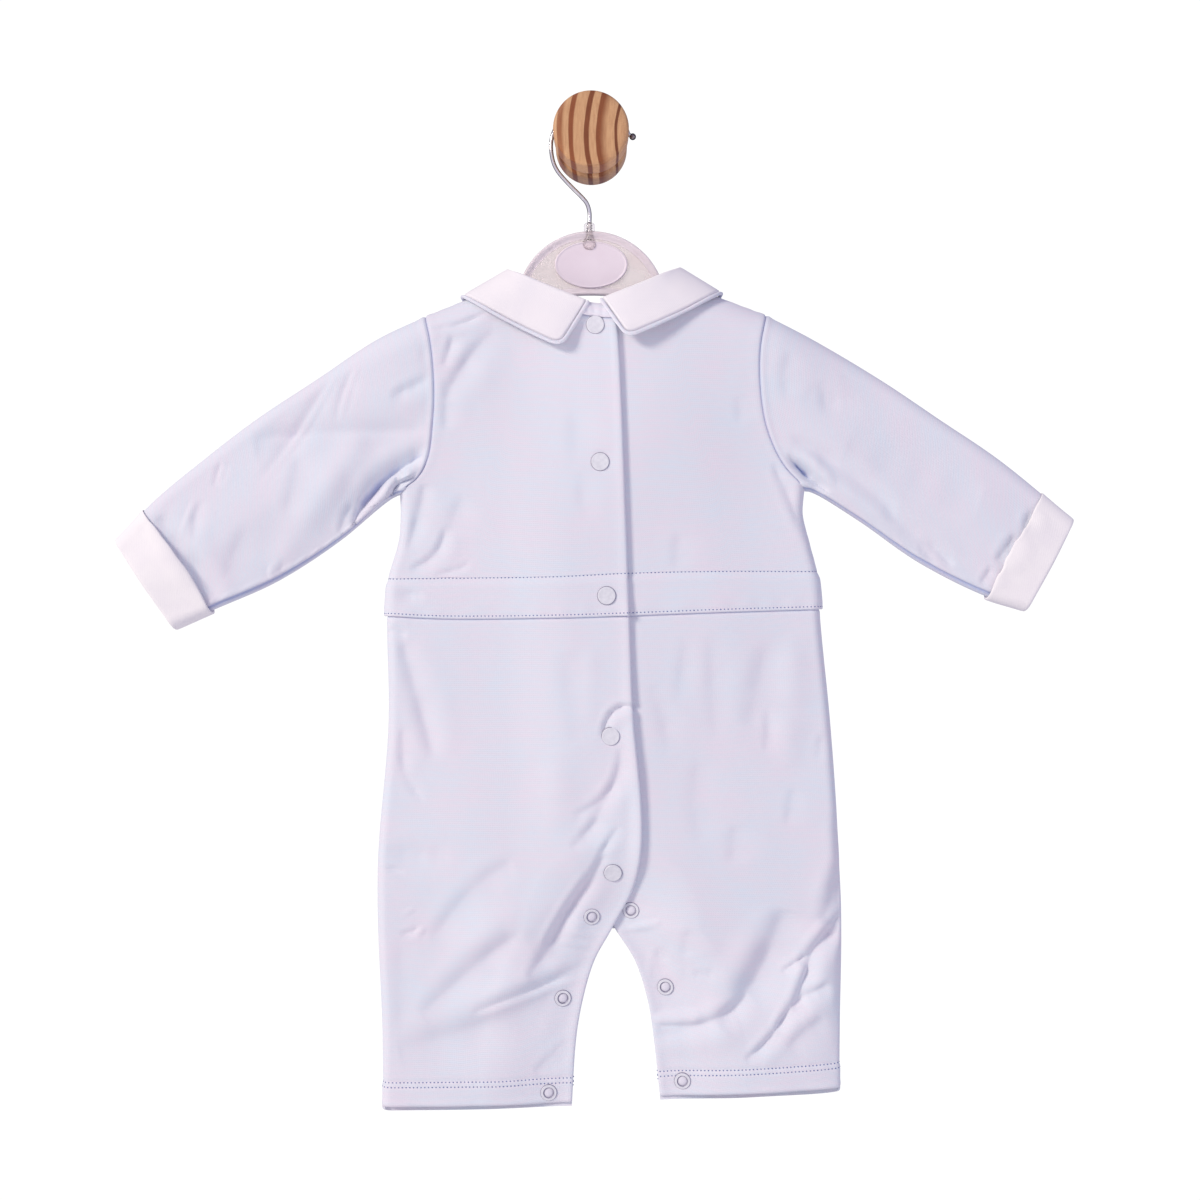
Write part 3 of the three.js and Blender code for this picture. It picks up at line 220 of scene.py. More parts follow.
# Creases of the back: three places along each (x and z), half width, depth, and how much gentler its left
# side is, looking along it. A negative depth is a ridge.
BACK_CREASES = [
    # Left leg.
    (15.7, -385.9, 7.8, -397.7, -0.1, -411.5, 2, 1.1, 0.35),
    (9.3, -402, -9.5, -428.8, -26, -455, 3.6, 3, 0.35),
    (-14, -436, -22.6, -454.5, -35, -473, 5, 2, 0.35),
    (0.9, -399, -18.8, -428.6, -46.5, -446.4, 8, -0.9, 0),
    (-43.4, -408, -65.2, -423.8, -88.8, -452.4, 7, 1.3, 0.34),
    (-38.7, -447.7, -61.4, -465.4, -95, -495, 8, 2.1, 0.33),
    (-33.4, -430.5, -59, -446.3, -88.6, -473.9, 7, -0.8, 0),
    (-1.5, -469.5, -31.1, -478.8, -66.7, -492.2, 2.6, 1.7, -0.3),
    (-7, -462.4, -34.7, -471.3, -60.3, -483.1, 4.5, -0.7, 0),
    (-115.5, -410.5, -109.6, -411.7, -104.7, -413.1, 1.5, 0.8, -0.1),
    (-105.8, -436.8, -102.2, -435.2, -98.8, -433.2, 1.1, -0.5, 0),
    (-107.3, -447.4, -101.4, -446.9, -97.4, -444.4, 1.8, 0.9, -0.25),
    (-98.7, -449, -95.9, -446.7, -92.8, -444.1, 1.3, -0.6, 0),
    (-106.3, -449.5, -105.3, -477.1, -105.8, -506.8, 6, 0.5, 0.3),
    (5.2, -382.6, -2.7, -390.5, -10.6, -399.4, 3.5, 0.8, 0.34),
    (2.9, -453.1, -6, -451.1, -14.8, -448.7, 1.6, 0.5, 0.1),
    (0, -460, -8.9, -457, -17.8, -455.5, 1.6, 0.4, 0.1),
    (5.9, -447.1, -1, -445.6, -7.9, -444.6, 1.4, 0.4, 0.12),
    (-114.6, -400.2, -96.9, -404.1, -79.1, -402.2, 7, 0.9, -0.16),
    (-12.5, -510.2, -20.3, -518.1, -32.2, -527, 4, 0.8, 0.33),
    (-16, -482, -58, -501, -108, -514, 12, 3, 0.3),
    # Right leg.
    (142, -436, 131.5, -450, 117, -465, 4.4, 3.6, 0.34),
    (120.1, -459.2, 115.2, -464.6, 107.2, -469.6, 2, 1.4, 0.32),
    (142, -404, 138, -424, 131, -442, 7, 2.2, 0.34),
    (124.4, -457, 117.4, -480, 103.5, -502, 3.6, 3.2, 0.35),
    (108.5, -493, 100.5, -506.5, 86.5, -519, 3, 2.1, 0.34),
    (113, -490, 121.5, -483.8, 133.5, -476, 4, 2.6, -0.31),
    (110, -434, 96, -469, 73, -501, 11, 4.6, 0.35),
    (88, -482, 65, -498.5, 32, -502, 4.5, 2.6, 0.25),
    (68, -494, 50, -496.8, 33, -497.6, 3, -1.3, 0),
    (82, -494, 60, -501, 35, -504, 12, -1.5, 0),
    (57, -443.9, 54.1, -452.8, 54.1, -460.7, 4.5, 0.6, 0.33),
    (38.7, -456.6, 38.2, -467.5, 36.7, -477.3, 3.4, 1.4, 0.32),
    (40, -440.5, 29, -444.2, 16, -447, 1.7, -0.9, 0.2),
    (69.3, -468.7, 63.3, -470.7, 57.4, -469.7, 3, 0.5, 0.2),
    (131.6, -495.4, 121.8, -502.3, 110.9, -513.2, 5, 0.9, 0.33),
    (81.9, -386.6, 80.9, -396.5, 80, -408.4, 6, 0.6, 0.32),
    (135.8, -378.3, 136.8, -392.2, 137.3, -406, 3, 0.7, 0.29),
    # Seat, below the waistband.
    (-105.9, -283, -97, -313.8, -87.2, -350, 5.2, 1.7, 0.24),
    (-105.4, -333, -105.6, -345.9, -104.4, -358.7, 3, 0.8, 0.29),
    (-104.6, -358.1, -99.7, -366, -93.8, -372.9, 2.6, 0.6, 0.14),
    (25, -320, 12.5, -322.4, 6, -337.5, 2.1, 2.2, 0.33),
    (16.2, -342.8, 10.7, -366.5, -9.5, -380.3, 3.3, 1.7, 0.35),
    (9.6, -369.7, 3.6, -382.5, -6.2, -394.4, 4, 1, 0.35),
    (-13.3, -289, -9.4, -315, -7.4, -341, 8, 0.6, 0.27),
    (-20.7, -343.9, -18.7, -366.6, -20.7, -390.3, 8, -0.7, 0),
    (-0.5, -285.8, -0.5, -307.5, -1.5, -329.2, 5, -0.4, 0),
    (-112.9, -276.7, -108.9, -278.7, -103, -280.6, 3.5, 1, -0.05),
    (-109.6, -256.8, -101.7, -257.8, -93.8, -257.8, 4, 1, -0.16),
    (67.5, -279, 69.1, -307.3, 70.5, -338, 6, 0.6, 0.29),
    (100.1, -284.7, 94.2, -312.3, 89.2, -332.1, 9, 0.9, 0.33),
    (99.1, -321.3, 99.6, -335.1, 98.1, -345, 3.6, 0.6, 0.31),
    (112.5, -279.8, 112.5, -314.4, 110.6, -354.9, 8, -1, 0),
    (34.1, -308, 41, -326.6, 44.5, -347, 5.5, 0.6, 0.23),
    (130.4, -335, 129.4, -341.2, 127.5, -350, 3.6, 0.5, 0.33),
    (113.7, -366, 112.3, -375.7, 110.2, -387, 4, 0.5, 0.33),
    (53.8, -280, 51.8, -299.8, 48.9, -319.5, 5, 0.4, 0.32),
    (62.7, -348.8, 59.7, -370.6, 62.7, -396.2, 7, 0.5, 0.3),
    # Bodice.
    (-57.9, -99.4, -72.7, -106.3, -88.5, -109.2, 1.8, 1.3, 0.26),
    (-77.1, -112.4, -78.9, -120.3, -82, -130.1, 2.8, 1.2, 0.34),
    (-53.2, -110.4, -70, -128.7, -80.3, -148.9, 5, 1.6, 0.35),
    (-80.5, -137.6, -80.8, -151.4, -81, -166.2, 3.6, 0.7, 0.3),
    (-93.3, -195.4, -96.3, -212.1, -102.7, -232.9, 4, 1.4, 0.33),
    (-81.7, -220.4, -87.7, -235.2, -101.5, -243.1, 2.9, 1.5, 0.34),
    (-68.2, -239.5, -75.6, -243.6, -87.5, -246, 1.7, 0.8, 0.26),
    (-70.7, -201.7, -74.6, -211.6, -79.6, -223.4, 5, 0.6, 0.34),
    (-8.9, -153.3, -7.4, -168.1, -7.9, -184.9, 6, 0.4, 0.3),
    (-3.5, -188.8, -4, -200.7, -2.5, -214.5, 5, 0.4, 0.29),
    (102, -184.5, 110.9, -202.3, 120.3, -227.9, 3, 1.2, 0.21),
    (49.8, -222.7, 48.9, -232.6, 47.9, -243.4, 5, 0.5, 0.32),
    (82.9, -146.4, 83.5, -153.3, 83.9, -161.2, 4, 0.4, 0.29),
]


def snap_places(*starts):
    """Middles, across and up, of the snaps whose names start so. They hold the cloth flat round them."""
    boxes = [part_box(name) for name in sorted(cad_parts) if name.startswith(starts)]
    return [[(low[axis] + high[axis]) * 500 for axis in (0, 2)] for low, high in boxes]


BACK_SNAPS = snap_places("snap_cap", "snap_ring")


def mix(a, b, t):
    return a + (b - a) * t


def ease(t):
    t = np.clip(t, 0, 1)
    return t * t * (3 - 2 * t)


def fade(d, width):
    """Falls smoothly from 1 at 0 to nothing past a width on either side."""
    return np.exp(-((d / width) ** 2))


def round_in(t):
    """Rises from 0 to 1 as a quarter circle, as cloth rounds in from a fold."""
    t = np.clip(t, 0, 1)
    return np.sqrt(t * (2 - t))


def lookup(table, column, at):
    """Smooth value of one column of a table whose first column rises, held level past both ends."""
    keys, values = table[:, 0], table[:, column]
    slopes = np.empty_like(values)
    slopes[1:-1] = (values[2:] - values[:-2]) / (keys[2:] - keys[:-2])
    slopes[0] = (values[1] - values[0]) / (keys[1] - keys[0])
    slopes[-1] = (values[-1] - values[-2]) / (keys[-1] - keys[-2])
    at = np.clip(at, keys[0], keys[-1])
    i = np.clip(np.searchsorted(keys, at, "right") - 1, 0, len(keys) - 2)
    span = keys[i + 1] - keys[i]
    t = (at - keys[i]) / span
    bend = slopes[i] * t * (1 - t) ** 2 - slopes[i + 1] * t * t * (1 - t)
    return mix(values[i], values[i + 1], t * t * (3 - 2 * t)) + span * bend


def running(points):
    """Running length at each point of a line."""
    return np.concatenate([[0], np.cumsum(np.linalg.norm(np.diff(points, axis=0), axis=1))])


def along_line(points, run, at):
    """Places on a line at running lengths."""
    return np.stack([np.interp(at, run, points[:, k]) for k in range(points.shape[1])], -1)


def smooth_line(points):
    """A smooth line through points, as a function from share of its length to a place on it."""
    p = np.array(points, float)
    p = np.vstack([2 * p[0] - p[1], p, 2 * p[-1] - p[-2]])
    t = np.linspace(0, 1, 60, endpoint=False)[:, None]
    dense = []
    for a, b, c, d in zip(p, p[1:], p[2:], p[3:]):
        e, f, g = (math.sqrt(np.linalg.norm(v)) for v in (b - a, c - b, d - c))
        m = f * ((b - a) / e - (c - a) / (e + f) + (c - b) / f)
        n = f * ((c - b) / f - (d - b) / (f + g) + (d - c) / g)
        dense.append(b + m * t + (3 * (c - b) - 2 * m - n) * t**2 + (2 * (b - c) + m + n) * t**3)
    dense = np.vstack([*dense, p[-2:-1]])
    run = running(dense)
    return lambda share: along_line(dense, run, np.asarray(share) * run[-1])


def segment_distance(x, z, a, b):
    dx, dz = b[0] - a[0], b[1] - a[1]
    t = np.clip(((x - a[0]) * dx + (z - a[1]) * dz) / (dx * dx + dz * dz), 0, 1)
    return np.hypot(x - a[0] - dx * t, z - a[1] - dz * t)


def side_distance(x, z, side):
    under_x, under_z = side["armhole"][-1]
    below = (lookup(SIDES, side["column"], z) - x) * side["sign"]
    return np.where(z >= under_z, np.hypot(x - under_x, z - under_z), below)


def inseam_distance(x, z):
    beside = np.maximum(lookup(FREE_EDGES, 1, z) - x, x - lookup(FREE_EDGES, 2, z))
    return np.where(z >= CROTCH[1], np.hypot(x - CROTCH[0], z - CROTCH[1]), np.maximum(beside, 0))


def shoulder_distance(x, z):
    return np.minimum(*(segment_distance(x, z, s["tip"], s["neck"]) for s in (LEFT, RIGHT)))


def half_depth(x, z):
    """Half the space between the inner faces of front and back at a place seen from the back."""
    full = lookup(DEPTHS, 1, z)
    for side in (LEFT, RIGHT):
        away = side_distance(x, z, side)
        reach = SIDE_REACH + side["low_reach"] * ease((-390 - z) / 60)
        full = full * (0.62 * round_in(away / reach) + 0.38 * ease(away / 105))
    full = full * round_in(shoulder_distance(x, z) / SHOULDER_REACH)
    opened = np.clip((inseam_distance(x, z) - INSEAM_FLAT) / INSEAM_REACH, 0, 1)
    opened = mix(opened, ease(opened), 0.6)
    return mix(np.minimum(full, INSEAM_HALF), full, opened)


def crease_depth(creases, x, z):
    """Depth of all creases at each place: soft troughs and ridges, uneven along their length."""
    total = np.zeros_like(x)
    for x1, z1, xm, zm, x2, z2, width, depth, lean in creases:
        bend = (2 * xm - (x1 + x2) / 2, 2 * zm - (z1 + z2) / 2)
        t = np.linspace(0, 1, 13)
        px = (1 - t) ** 2 * x1 + 2 * t * (1 - t) * bend[0] + t * t * x2
        pz = (1 - t) ** 2 * z1 + 2 * t * (1 - t) * bend[1] + t * t * z2
        near = (x > px.min() - 4 * width) & (x < px.max() + 4 * width)
        near &= (z > pz.min() - 4 * width) & (z < pz.max() + 4 * width)
        if not near.any():
            continue
        nx, nz = x[near], z[near]
        best, at, side = np.full(nx.shape, 1e9), np.zeros(nx.shape), np.zeros(nx.shape)
        for i in range(12):
            dx, dz = px[i + 1] - px[i], pz[i + 1] - pz[i]
            share = np.clip(((nx - px[i]) * dx + (nz - pz[i]) * dz) / (dx * dx + dz * dz), 0, 1)
            ex, ez = nx - px[i] - dx * share, nz - pz[i] - dz * share
            d = np.hypot(ex, ez)
            closer = d < best
            best = np.where(closer, d, best)
            at = np.where(closer, (i + share) / 12, at)
            side = np.where(closer, (dx * ez - dz * ex) / math.hypot(dx, dz), side)
        taper = (4 * at * (1 - at)) ** 0.6
        w = width * (0.6 + 0.4 * taper) * (1 + lean * np.tanh(side / (0.5 * width)))
        shape = fade(best, w) - 0.2 * np.exp(-(((best - 2.1 * w) / w) ** 2))
        uneven = 1 + 0.2 * np.sin(9 * at + x1) + 0.1 * np.sin(23 * at + z1)
        total[near] += depth * shape * taper * uneven
    return total


def deep_fold_shade_share(creases, x, z):
    """Share of painted shade in deep creases, from 0 to 1: how far each place lies down in a deep crease, taken a
    little towards its shaded side.
    """
    return 0.7 * ease((crease_depth(creases, x + 1.0, z - 0.7) - 3.0) / 3.2)


def soft_waves(x, z, seed):
    """Slow unevenness of cloth that hangs freely."""
    return (
        0.5 * np.sin(x / 15 + z / 37 + seed) + 0.45 * np.sin(x / 27 - z / 21 + 2.1 * seed)
        + 0.25 * np.sin(x / 8.5 + z / 60 + 0.7 * seed) + 0.2 * np.sin(x / 31 + z / 9.5 + 1.3 * seed)
    )


def placket_lift(x, z):
    """How far the left back is raised, to lie over the right back, with its edge curling down a little."""
    across = ease((x - lookup(FREE_EDGES, 2, z) + 46) / 40)
    to_edge = lookup(FREE_EDGES, 1, z) - x
    curl = mix(-0.3, -1.4, ease((-280 - z) / 60)) * (1 - ease(to_edge / 9)) * ease((z - CROTCH[1] - 20) / 20)
    return (PLACKET_LIFT * across - curl) * ease((z - CROTCH[1] + 24) / 20)


def back_place(flat, lifted):
    """Inner face of the back at flat x-z places."""
    x, z = flat[..., 0], flat[..., 1]
    h = half_depth(x, z)
    calm = np.ones_like(x)
    sunk = np.zeros_like(x)
    for sx, sz in BACK_SNAPS:
        r2 = (x - sx) ** 2 + (z - sz) ** 2
        calm *= 1 - 0.9 * np.exp(-r2 / 30)
        sunk += 0.4 * np.exp(-r2 / 50)
    near = np.minimum(inseam_distance(x, z), shoulder_distance(x, z))
    near = np.minimum(near, np.minimum(side_distance(x, z, LEFT), side_distance(x, z, RIGHT)))
    soft = ease(h / 3.2)
    creases = crease_depth(BACK_CREASES, x, z) * calm
    creases = np.where(creases > 0, creases * soft, creases * ease(near / 5))
    inward = creases + (soft_waves(x, z, 0.7) * 0.5 * calm + sunk) * soft
    y = np.maximum(h - inward, np.minimum(h, INSEAM_HALF))
    return np.stack([x, Y_MID - y - (placket_lift(x, z) if lifted else 0), z], -1)


def over(flat):
    return back_place(flat, True)


def under(flat):
    return back_place(flat, False)


def spacing(length, start, end, middle=2.0):
    """Shares from 0 to 1 along a length, in steps that grow from start to middle and shrink to end."""
    ends = []
    for step in (start, end):
        steps = []
        while step < middle:
            steps.append(step)
            step *= 1.35
        ends.append(steps)
    left = length - sum(ends[0]) - sum(ends[1])
    count = max(1, round(left / middle))
    steps = [*ends[0], *[left / count] * count, *ends[1][::-1]]
    return np.concatenate([[0], np.cumsum(steps)]) / length


def patch(top, low, first, last, us, vs):
    """Grid of places between four outline curves that share their corners."""
    u, v = us[None, :, None], vs[:, None, None]
    corners = mix(mix(top[0], top[-1], u), mix(low[0], low[-1], u), v)
    return mix(top[None], low[None], v) + mix(first[:, None], last[:, None], u) - corners


def unit(v):
    return v / np.maximum(np.linalg.norm(v, axis=-1, keepdims=True), 1e-9)


def grid_normals(grid, side, wrap=False):
    """Unit normals of a grid, turned to the -Y side for -1 and the +Y side for 1."""
    wide = np.concatenate([grid[:, -2:-1], grid, grid[:, 1:2]], 1) if wrap else grid
    across = np.gradient(wide, axis=1)
    across = across[:, 1:-1] if wrap else across
    n = unit(np.cross(across, np.gradient(grid, axis=0)))
    if side is not None:
        n *= math.copysign(1, n[..., 1].sum() * side)
    return n


def distances(grid):
    """Running lengths over a grid, along its rows and down its columns."""
    rows = np.cumsum(np.linalg.norm(np.diff(grid, axis=1, prepend=grid[:, :1]), axis=2), 1)
    columns = np.cumsum(np.linalg.norm(np.diff(grid, axis=0, prepend=grid[:1]), axis=2), 0)
    return rows, columns


def seam_relief(grid, edges):
    """Share of thickness left by seams and turned edges, the small puckers they raise, and the share of painted
    shade that each place down in a seam ditch takes.

    edges gives each grid edge its kind: seam, flush (a band level with its neighbour),
    under (a seam below a proud edge), lap, fold or free."""
    rows, columns = distances(grid)
    reach = {
        "left": (rows, columns[:, :1]), "right": (rows[:, -1:] - rows, columns[:, -1:]), "top": (columns, rows[:1]),
        "low": (columns[-1:] - columns, rows[-1:]),
    }
    # sewn is the share of painted shade down in seam ditches, which the cloth's colour takes.
    kept, pucker, sewn = np.ones(grid.shape[:2]), np.zeros(grid.shape[:2]), np.zeros(grid.shape[:2])
    for edge, kind in edges.items():
        d, along = reach[edge]
        if kind == "seam":
            kept *= 1 - 0.55 * fade(d, 0.6)
            sewn = np.maximum(sewn, 0.3 * fade(d, 0.8))
            wave = np.sin(along / 1.6 + 1.7 * np.sin(along / 13)) * (0.6 + 0.4 * np.sin(along / 31 + 1))
            pucker += 0.08 * wave * np.exp(-((d - 2) ** 2) / 7) + 0.15 * np.exp(-((d - 3) ** 2) / 4)
        elif kind == "flush":
            kept *= mix(CLOTH / BAND_CLOTH, 1, ease(d / 5)) - 0.08 * fade(d, 0.6)
        elif kind == "under":
            kept *= 1 - 0.5 * fade(d, 0.8)
            sewn = np.maximum(sewn, 0.3 * fade(d, 0.6))
        elif kind == "fold":
            kept *= 1 - 0.25 * fade(d, 1.2)
        elif kind == "lap":
            kept *= mix(0.75, 1, round_in(d / 0.5))
        else:
            kept *= mix(0.25, 1, round_in(d / 1.0))
            pucker += 0.25 * fade(d - 2.2, 1.6)
    return kept, pucker, sewn


def mesh_object(name, points, faces, uv, material, painted_fold_shade=None):
    """An object in metres from points in millimetres, with a UV map in metres, faces turned outward, and, if given,
    the share of painted shade that each place takes in a seam or a deep fold."""
    mesh = bpy.data.meshes.new(name)
    mesh.from_pydata((np.asarray(points) / 1000).tolist(), [], faces)
    if uv is not None:
        corners = np.zeros(len(mesh.loops), np.int32)
        mesh.loops.foreach_get("vertex_index", corners)
        layer = mesh.uv_layers.new(name="cloth_mm")
        layer.data.foreach_set("uv", (np.asarray(uv)[corners] / 1000).astype(np.float32).ravel())
    if painted_fold_shade is not None:
        mesh.attributes.new("painted_fold_shade", "FLOAT", "POINT").data.foreach_set("value", painted_fold_shade.astype(np.float32))
    shell = bmesh.new()
    shell.from_mesh(mesh)
    bmesh.ops.recalc_face_normals(shell, faces=shell.faces)
    shell.to_mesh(mesh)
    shell.free()
    mesh.polygons.foreach_set("use_smooth", [True] * len(mesh.polygons))
    mesh.materials.append(material)
    made = bpy.data.objects.new(name, mesh)
    bpy.context.scene.collection.objects.link(made)
    return made


def grid_faces(rows, columns, wrap=False):
    """Quads of a grid of point numbers. A wrapped grid's last column joins its first."""
    number = np.arange(rows * columns).reshape(rows, columns)
    if wrap:
        number = np.concatenate([number, number[:, :1]], 1)
    return np.stack([number[:-1, :-1], number[1:, :-1], number[1:, 1:], number[:-1, 1:]], -1).reshape(-1, 4)


def rim_edges(quads):
    """Edges that belong to one quad only."""
    edges = np.concatenate([quads[:, [k, (k + 1) % 4]] for k in range(4)])
    _, first, count = np.unique(np.sort(edges, 1), axis=0, return_index=True, return_counts=True)
    return edges[first[count == 1]]


def cloth_wall(name, inner, outer, uv, material, painted_fold_shade=None, quads=None, wrap=False):
    """A closed cloth wall from grids of inner and outer points, or from lists of them and their quads."""
    quads = grid_faces(*inner.shape[:2], wrap) if quads is None else quads
    inner, outer, uv = inner.reshape(-1, 3), outer.reshape(-1, 3), uv.reshape(-1, 2)
    n = len(inner)
    rim = rim_edges(quads)
    sides = np.stack([rim[:, 0], rim[:, 1], rim[:, 1] + n, rim[:, 0] + n], -1)
    faces = np.concatenate([quads[:, ::-1], quads + n, sides]).tolist()
    if painted_fold_shade is not None:
        painted_fold_shade = np.concatenate([0 * painted_fold_shade.ravel(), painted_fold_shade.ravel()])
    made = mesh_object(name, np.concatenate([inner, outer]), faces, np.concatenate([uv, uv]), material, painted_fold_shade)
    made.data.set_sharp_from_angle(angle=math.radians(70))
    return made


def interlock(name, thread, light, deep, wale=1.25):
    """Cotton interlock: upright wales and courses, drawn coarser than the real 0.7 mm to be seen at all, with the
    slight pink and blue cast of dyed yarn, a soft sheen and a matt surface. Down in seams and deep folds the colour
    is made a darker, fuller blue: painted shade for the light that passes from cloth to cloth there."""
    made, tree = new_tree(name)
    uv = add_node(tree, "UVMap", uv_map="cloth_mm")
    pitch = 2 * math.pi / 20 / (wale / 1000)
    wales = add_node(
        tree, "TexWave", {"Vector": uv, "Scale": pitch, "Distortion": 0.5, "Detail": 1.0, "Detail Scale": 1.5},
        bands_direction="X",
    )
    courses = add_node(
        tree, "TexWave",
        {"Vector": uv, "Scale": pitch * 1.15, "Distortion": 0.6, "Detail": 1.0, "Detail Scale": 1.5},
        bands_direction="Y",
    )
    yarn = add_node(tree, "TexNoise", {"Vector": uv, "Scale": 900.0, "Detail": 2.0})
    dye = add_node(tree, "TexNoise", {"Vector": uv, "Scale": 34.0, "Detail": 5.0, "Roughness": 0.6})
    relief = add_node(
        tree, "Math", {0: wales.outputs["Fac"], 1: 0.65, 2: courses.outputs["Fac"]}, operation="MULTIPLY_ADD",
    )
    fuzz = add_node(tree, "Math", {0: yarn, 1: 0.7, 2: relief}, operation="MULTIPLY_ADD")
    bump = add_node(tree, "Bump", {"Height": fuzz, "Strength": 0.2, "Distance": 0.00018})
    watered = add_node(
        tree, "TexWave", {"Vector": uv, "Scale": 100.0, "Distortion": 16.0, "Detail": 2.0, "Detail Scale": 0.12},
        bands_direction="Y",
    )
    cast = add_node(tree, "Math", {0: watered.outputs["Fac"], 1: 0.19, 2: dye}, operation="MULTIPLY_ADD")
    tint = add_node(tree, "ValToRGB", {"Fac": cast}, stops=[(0.36, light), (0.61, thread), (0.86, deep)])
    # Painted shade: the hollows of the knit relief are a touch darker.
    painted_weave_shade = add_node(tree, "ValToRGB", {"Fac": relief}, stops=[(0.2, "#b9bfd6"), (0.9, "#ffffff")])
    shade = add_node(
        tree, "Mix", {"Factor": 0.05, 6: tint, 7: painted_weave_shade}, data_type="RGBA", blend_type="MULTIPLY",
    )
    # Painted shade: down in seam ditches and deep folds the cloth's colour is multiplied towards a darker, fuller
    # blue.
    painted_fold_shade = add_node(tree, "Attribute", attribute_name="painted_fold_shade")
    depth = add_node(
        tree, "Mix", {0: painted_fold_shade.outputs["Fac"], 6: shade.outputs[2], 7: linear("#9aade0")}, data_type="RGBA",
        blend_type="MULTIPLY",
    )
    rough = add_node(tree, "MapRange", {"Value": yarn, "To Min": 0.8, "To Max": 0.95})
    finish_shader(
        tree, Base_Color=depth.outputs[2], Roughness=rough, Normal=bump, Specular_IOR_Level=0.25, Sheen_Weight=0.12,
        Sheen_Roughness=0.45,
    )
    return made


BLUE_CLOTH = interlock("blue_cotton_interlock", "#dedfe9", "#e3dde8", "#d9e1ec")


def shoulder_and_neck(side, centre, us):
    """Top outline of a bodice half: the shoulder seam, then the neckline to the centre."""
    tip, neck, centre = (np.array(p, float) for p in (side["tip"], side["neck"], centre))
    t = np.clip(us / SHOULDER_SHARE, 0, 1)[:, None]
    k = np.clip((us - SHOULDER_SHARE) / (1 - SHOULDER_SHARE), 0, 1)
    drop = np.sin(k * math.pi / 2) ** 0.85
    neckline = np.stack([mix(neck[0], centre[0], k), mix(neck[1], centre[1], drop)], -1)
    return np.where(us[:, None] <= SHOULDER_SHARE, mix(tip, neck, t), neckline)


def bodice_rows(length, middle=2.0):
    vs = spacing(length, 0.45, 0.45, middle)
    return np.unique(np.append(vs, UNDERARM_SHARE))


def bodice_side(side, vs):
    """Outer outline of a bodice half: the armhole, then the side fold down to the waistband."""
    under_z = side["armhole"][-1][1]
    side_x = lookup(SIDES, side["column"], -248.0)
    low_z = lookup(WAIST, 1, side_x)
    z = mix(under_z, low_z, np.clip((vs - UNDERARM_SHARE) / (1 - UNDERARM_SHARE), 0, 1))
    down = np.stack([lookup(SIDES, side["column"], z), z], -1)
    armhole = smooth_line(side["armhole"])(np.clip(vs / UNDERARM_SHARE, 0, 1))
    return np.where(vs[:, None] <= UNDERARM_SHARE, armhole, down)


def flat_uv(grid, column):
    """Cloth coordinates: true x down one column and running length from it, so that wales hang upright."""
    rows, columns = distances(grid)
    u = grid[:, column, 0][:, None] + rows - rows[:, column][:, None]
    v = grid[:1, :, 2] - columns
    return np.stack([u, v], -1).reshape(-1, 2)


def close_normals(normals, depth):
    """At a fold, where front and back meet, normals lie in the plane between them."""
    n = normals.copy()
    n[..., 1] = np.where(depth < 1e-3, 0, n[..., 1])
    return unit(n)


def panel(name, flat, place, side, edges, thickness, column, extra=None, faced=False):
    """A cloth panel over a flat grid. side is -1 on the back and 1 on the front. A faced panel's free edge
    is folded thick, down to the layer below."""
    inner = place(flat)
    normals = close_normals(grid_normals(inner, side), half_depth(flat[..., 0], flat[..., 1]))
    kept, pucker, sewn = seam_relief(inner, edges)
    rise = (pucker if extra is None else pucker + extra(inner))[..., None]
    outer = inner + normals * (thickness * kept[..., None] + rise)
    if faced:
        x, z = flat[..., 0], flat[..., 1]
        near = ease((x - lookup(FREE_EDGES, 1, z) + 18) / 6)
        inner[..., 1] += near * np.maximum(placket_lift(x, z) - thickness - 0.1, 0)
    # The seams' painted shade goes to the cloth's colour.
    return cloth_wall(name, inner, outer, flat_uv(inner, column), BLUE_CLOTH, sewn), outer, normals


def fixed(made, node=None):
    """Fixes a piece to the part's one body and in the place of the node it shows."""
    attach(made, "root")
    if node:
        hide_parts(node)


def cloth_piece(made, node, flat, area):
    """Fixes a cut piece to the part's body, in the place of the node it shows."""
    fixed(made, node)


def back_bodice(side, flat, area):
    column = side["column"]
    us, vs = spacing(135, 0.3, 0.45, 1.4), bodice_rows(152, 1.4)
    centre = np.array([lookup(FREE_EDGES, column, BACK_NECK_Z), BACK_NECK_Z])
    top = shoulder_and_neck(side, centre, us)
    outer = bodice_side(side, vs)
    centre_x = lookup(FREE_EDGES, column, -247.0)
    low_x = mix(outer[-1, 0], centre_x, us)
    low = np.stack([low_x, lookup(WAIST, 1, low_x)], -1)
    inner_z = mix(BACK_NECK_Z, low[-1, 1], vs)
    inner = np.stack([lookup(FREE_EDGES, column, inner_z), inner_z], -1)
    grid = patch(top, low, outer, inner, us, vs)
    made, _, _ = panel(
        f"back_bodice_{side['name']}_cloth", grid, over if side is LEFT else under, -1,
        {"left": "seam", "right": "free", "top": "seam"}, CLOTH, -1, faced=side is LEFT,
    )
    cloth_piece(made, f"back_bodice_{side['name']}", flat, area)


back_bodice(LEFT, (142, 168), 18600)
back_bodice(RIGHT, (142, 168), 18600)

# ---- Front bodice -----------------------------------------------------------------------------------
# One piece of the same interlock, cut with a neckline lower than the back's and with no opening. It hangs on
# the wall side, and its folds run in from the arms and down from the waistband.

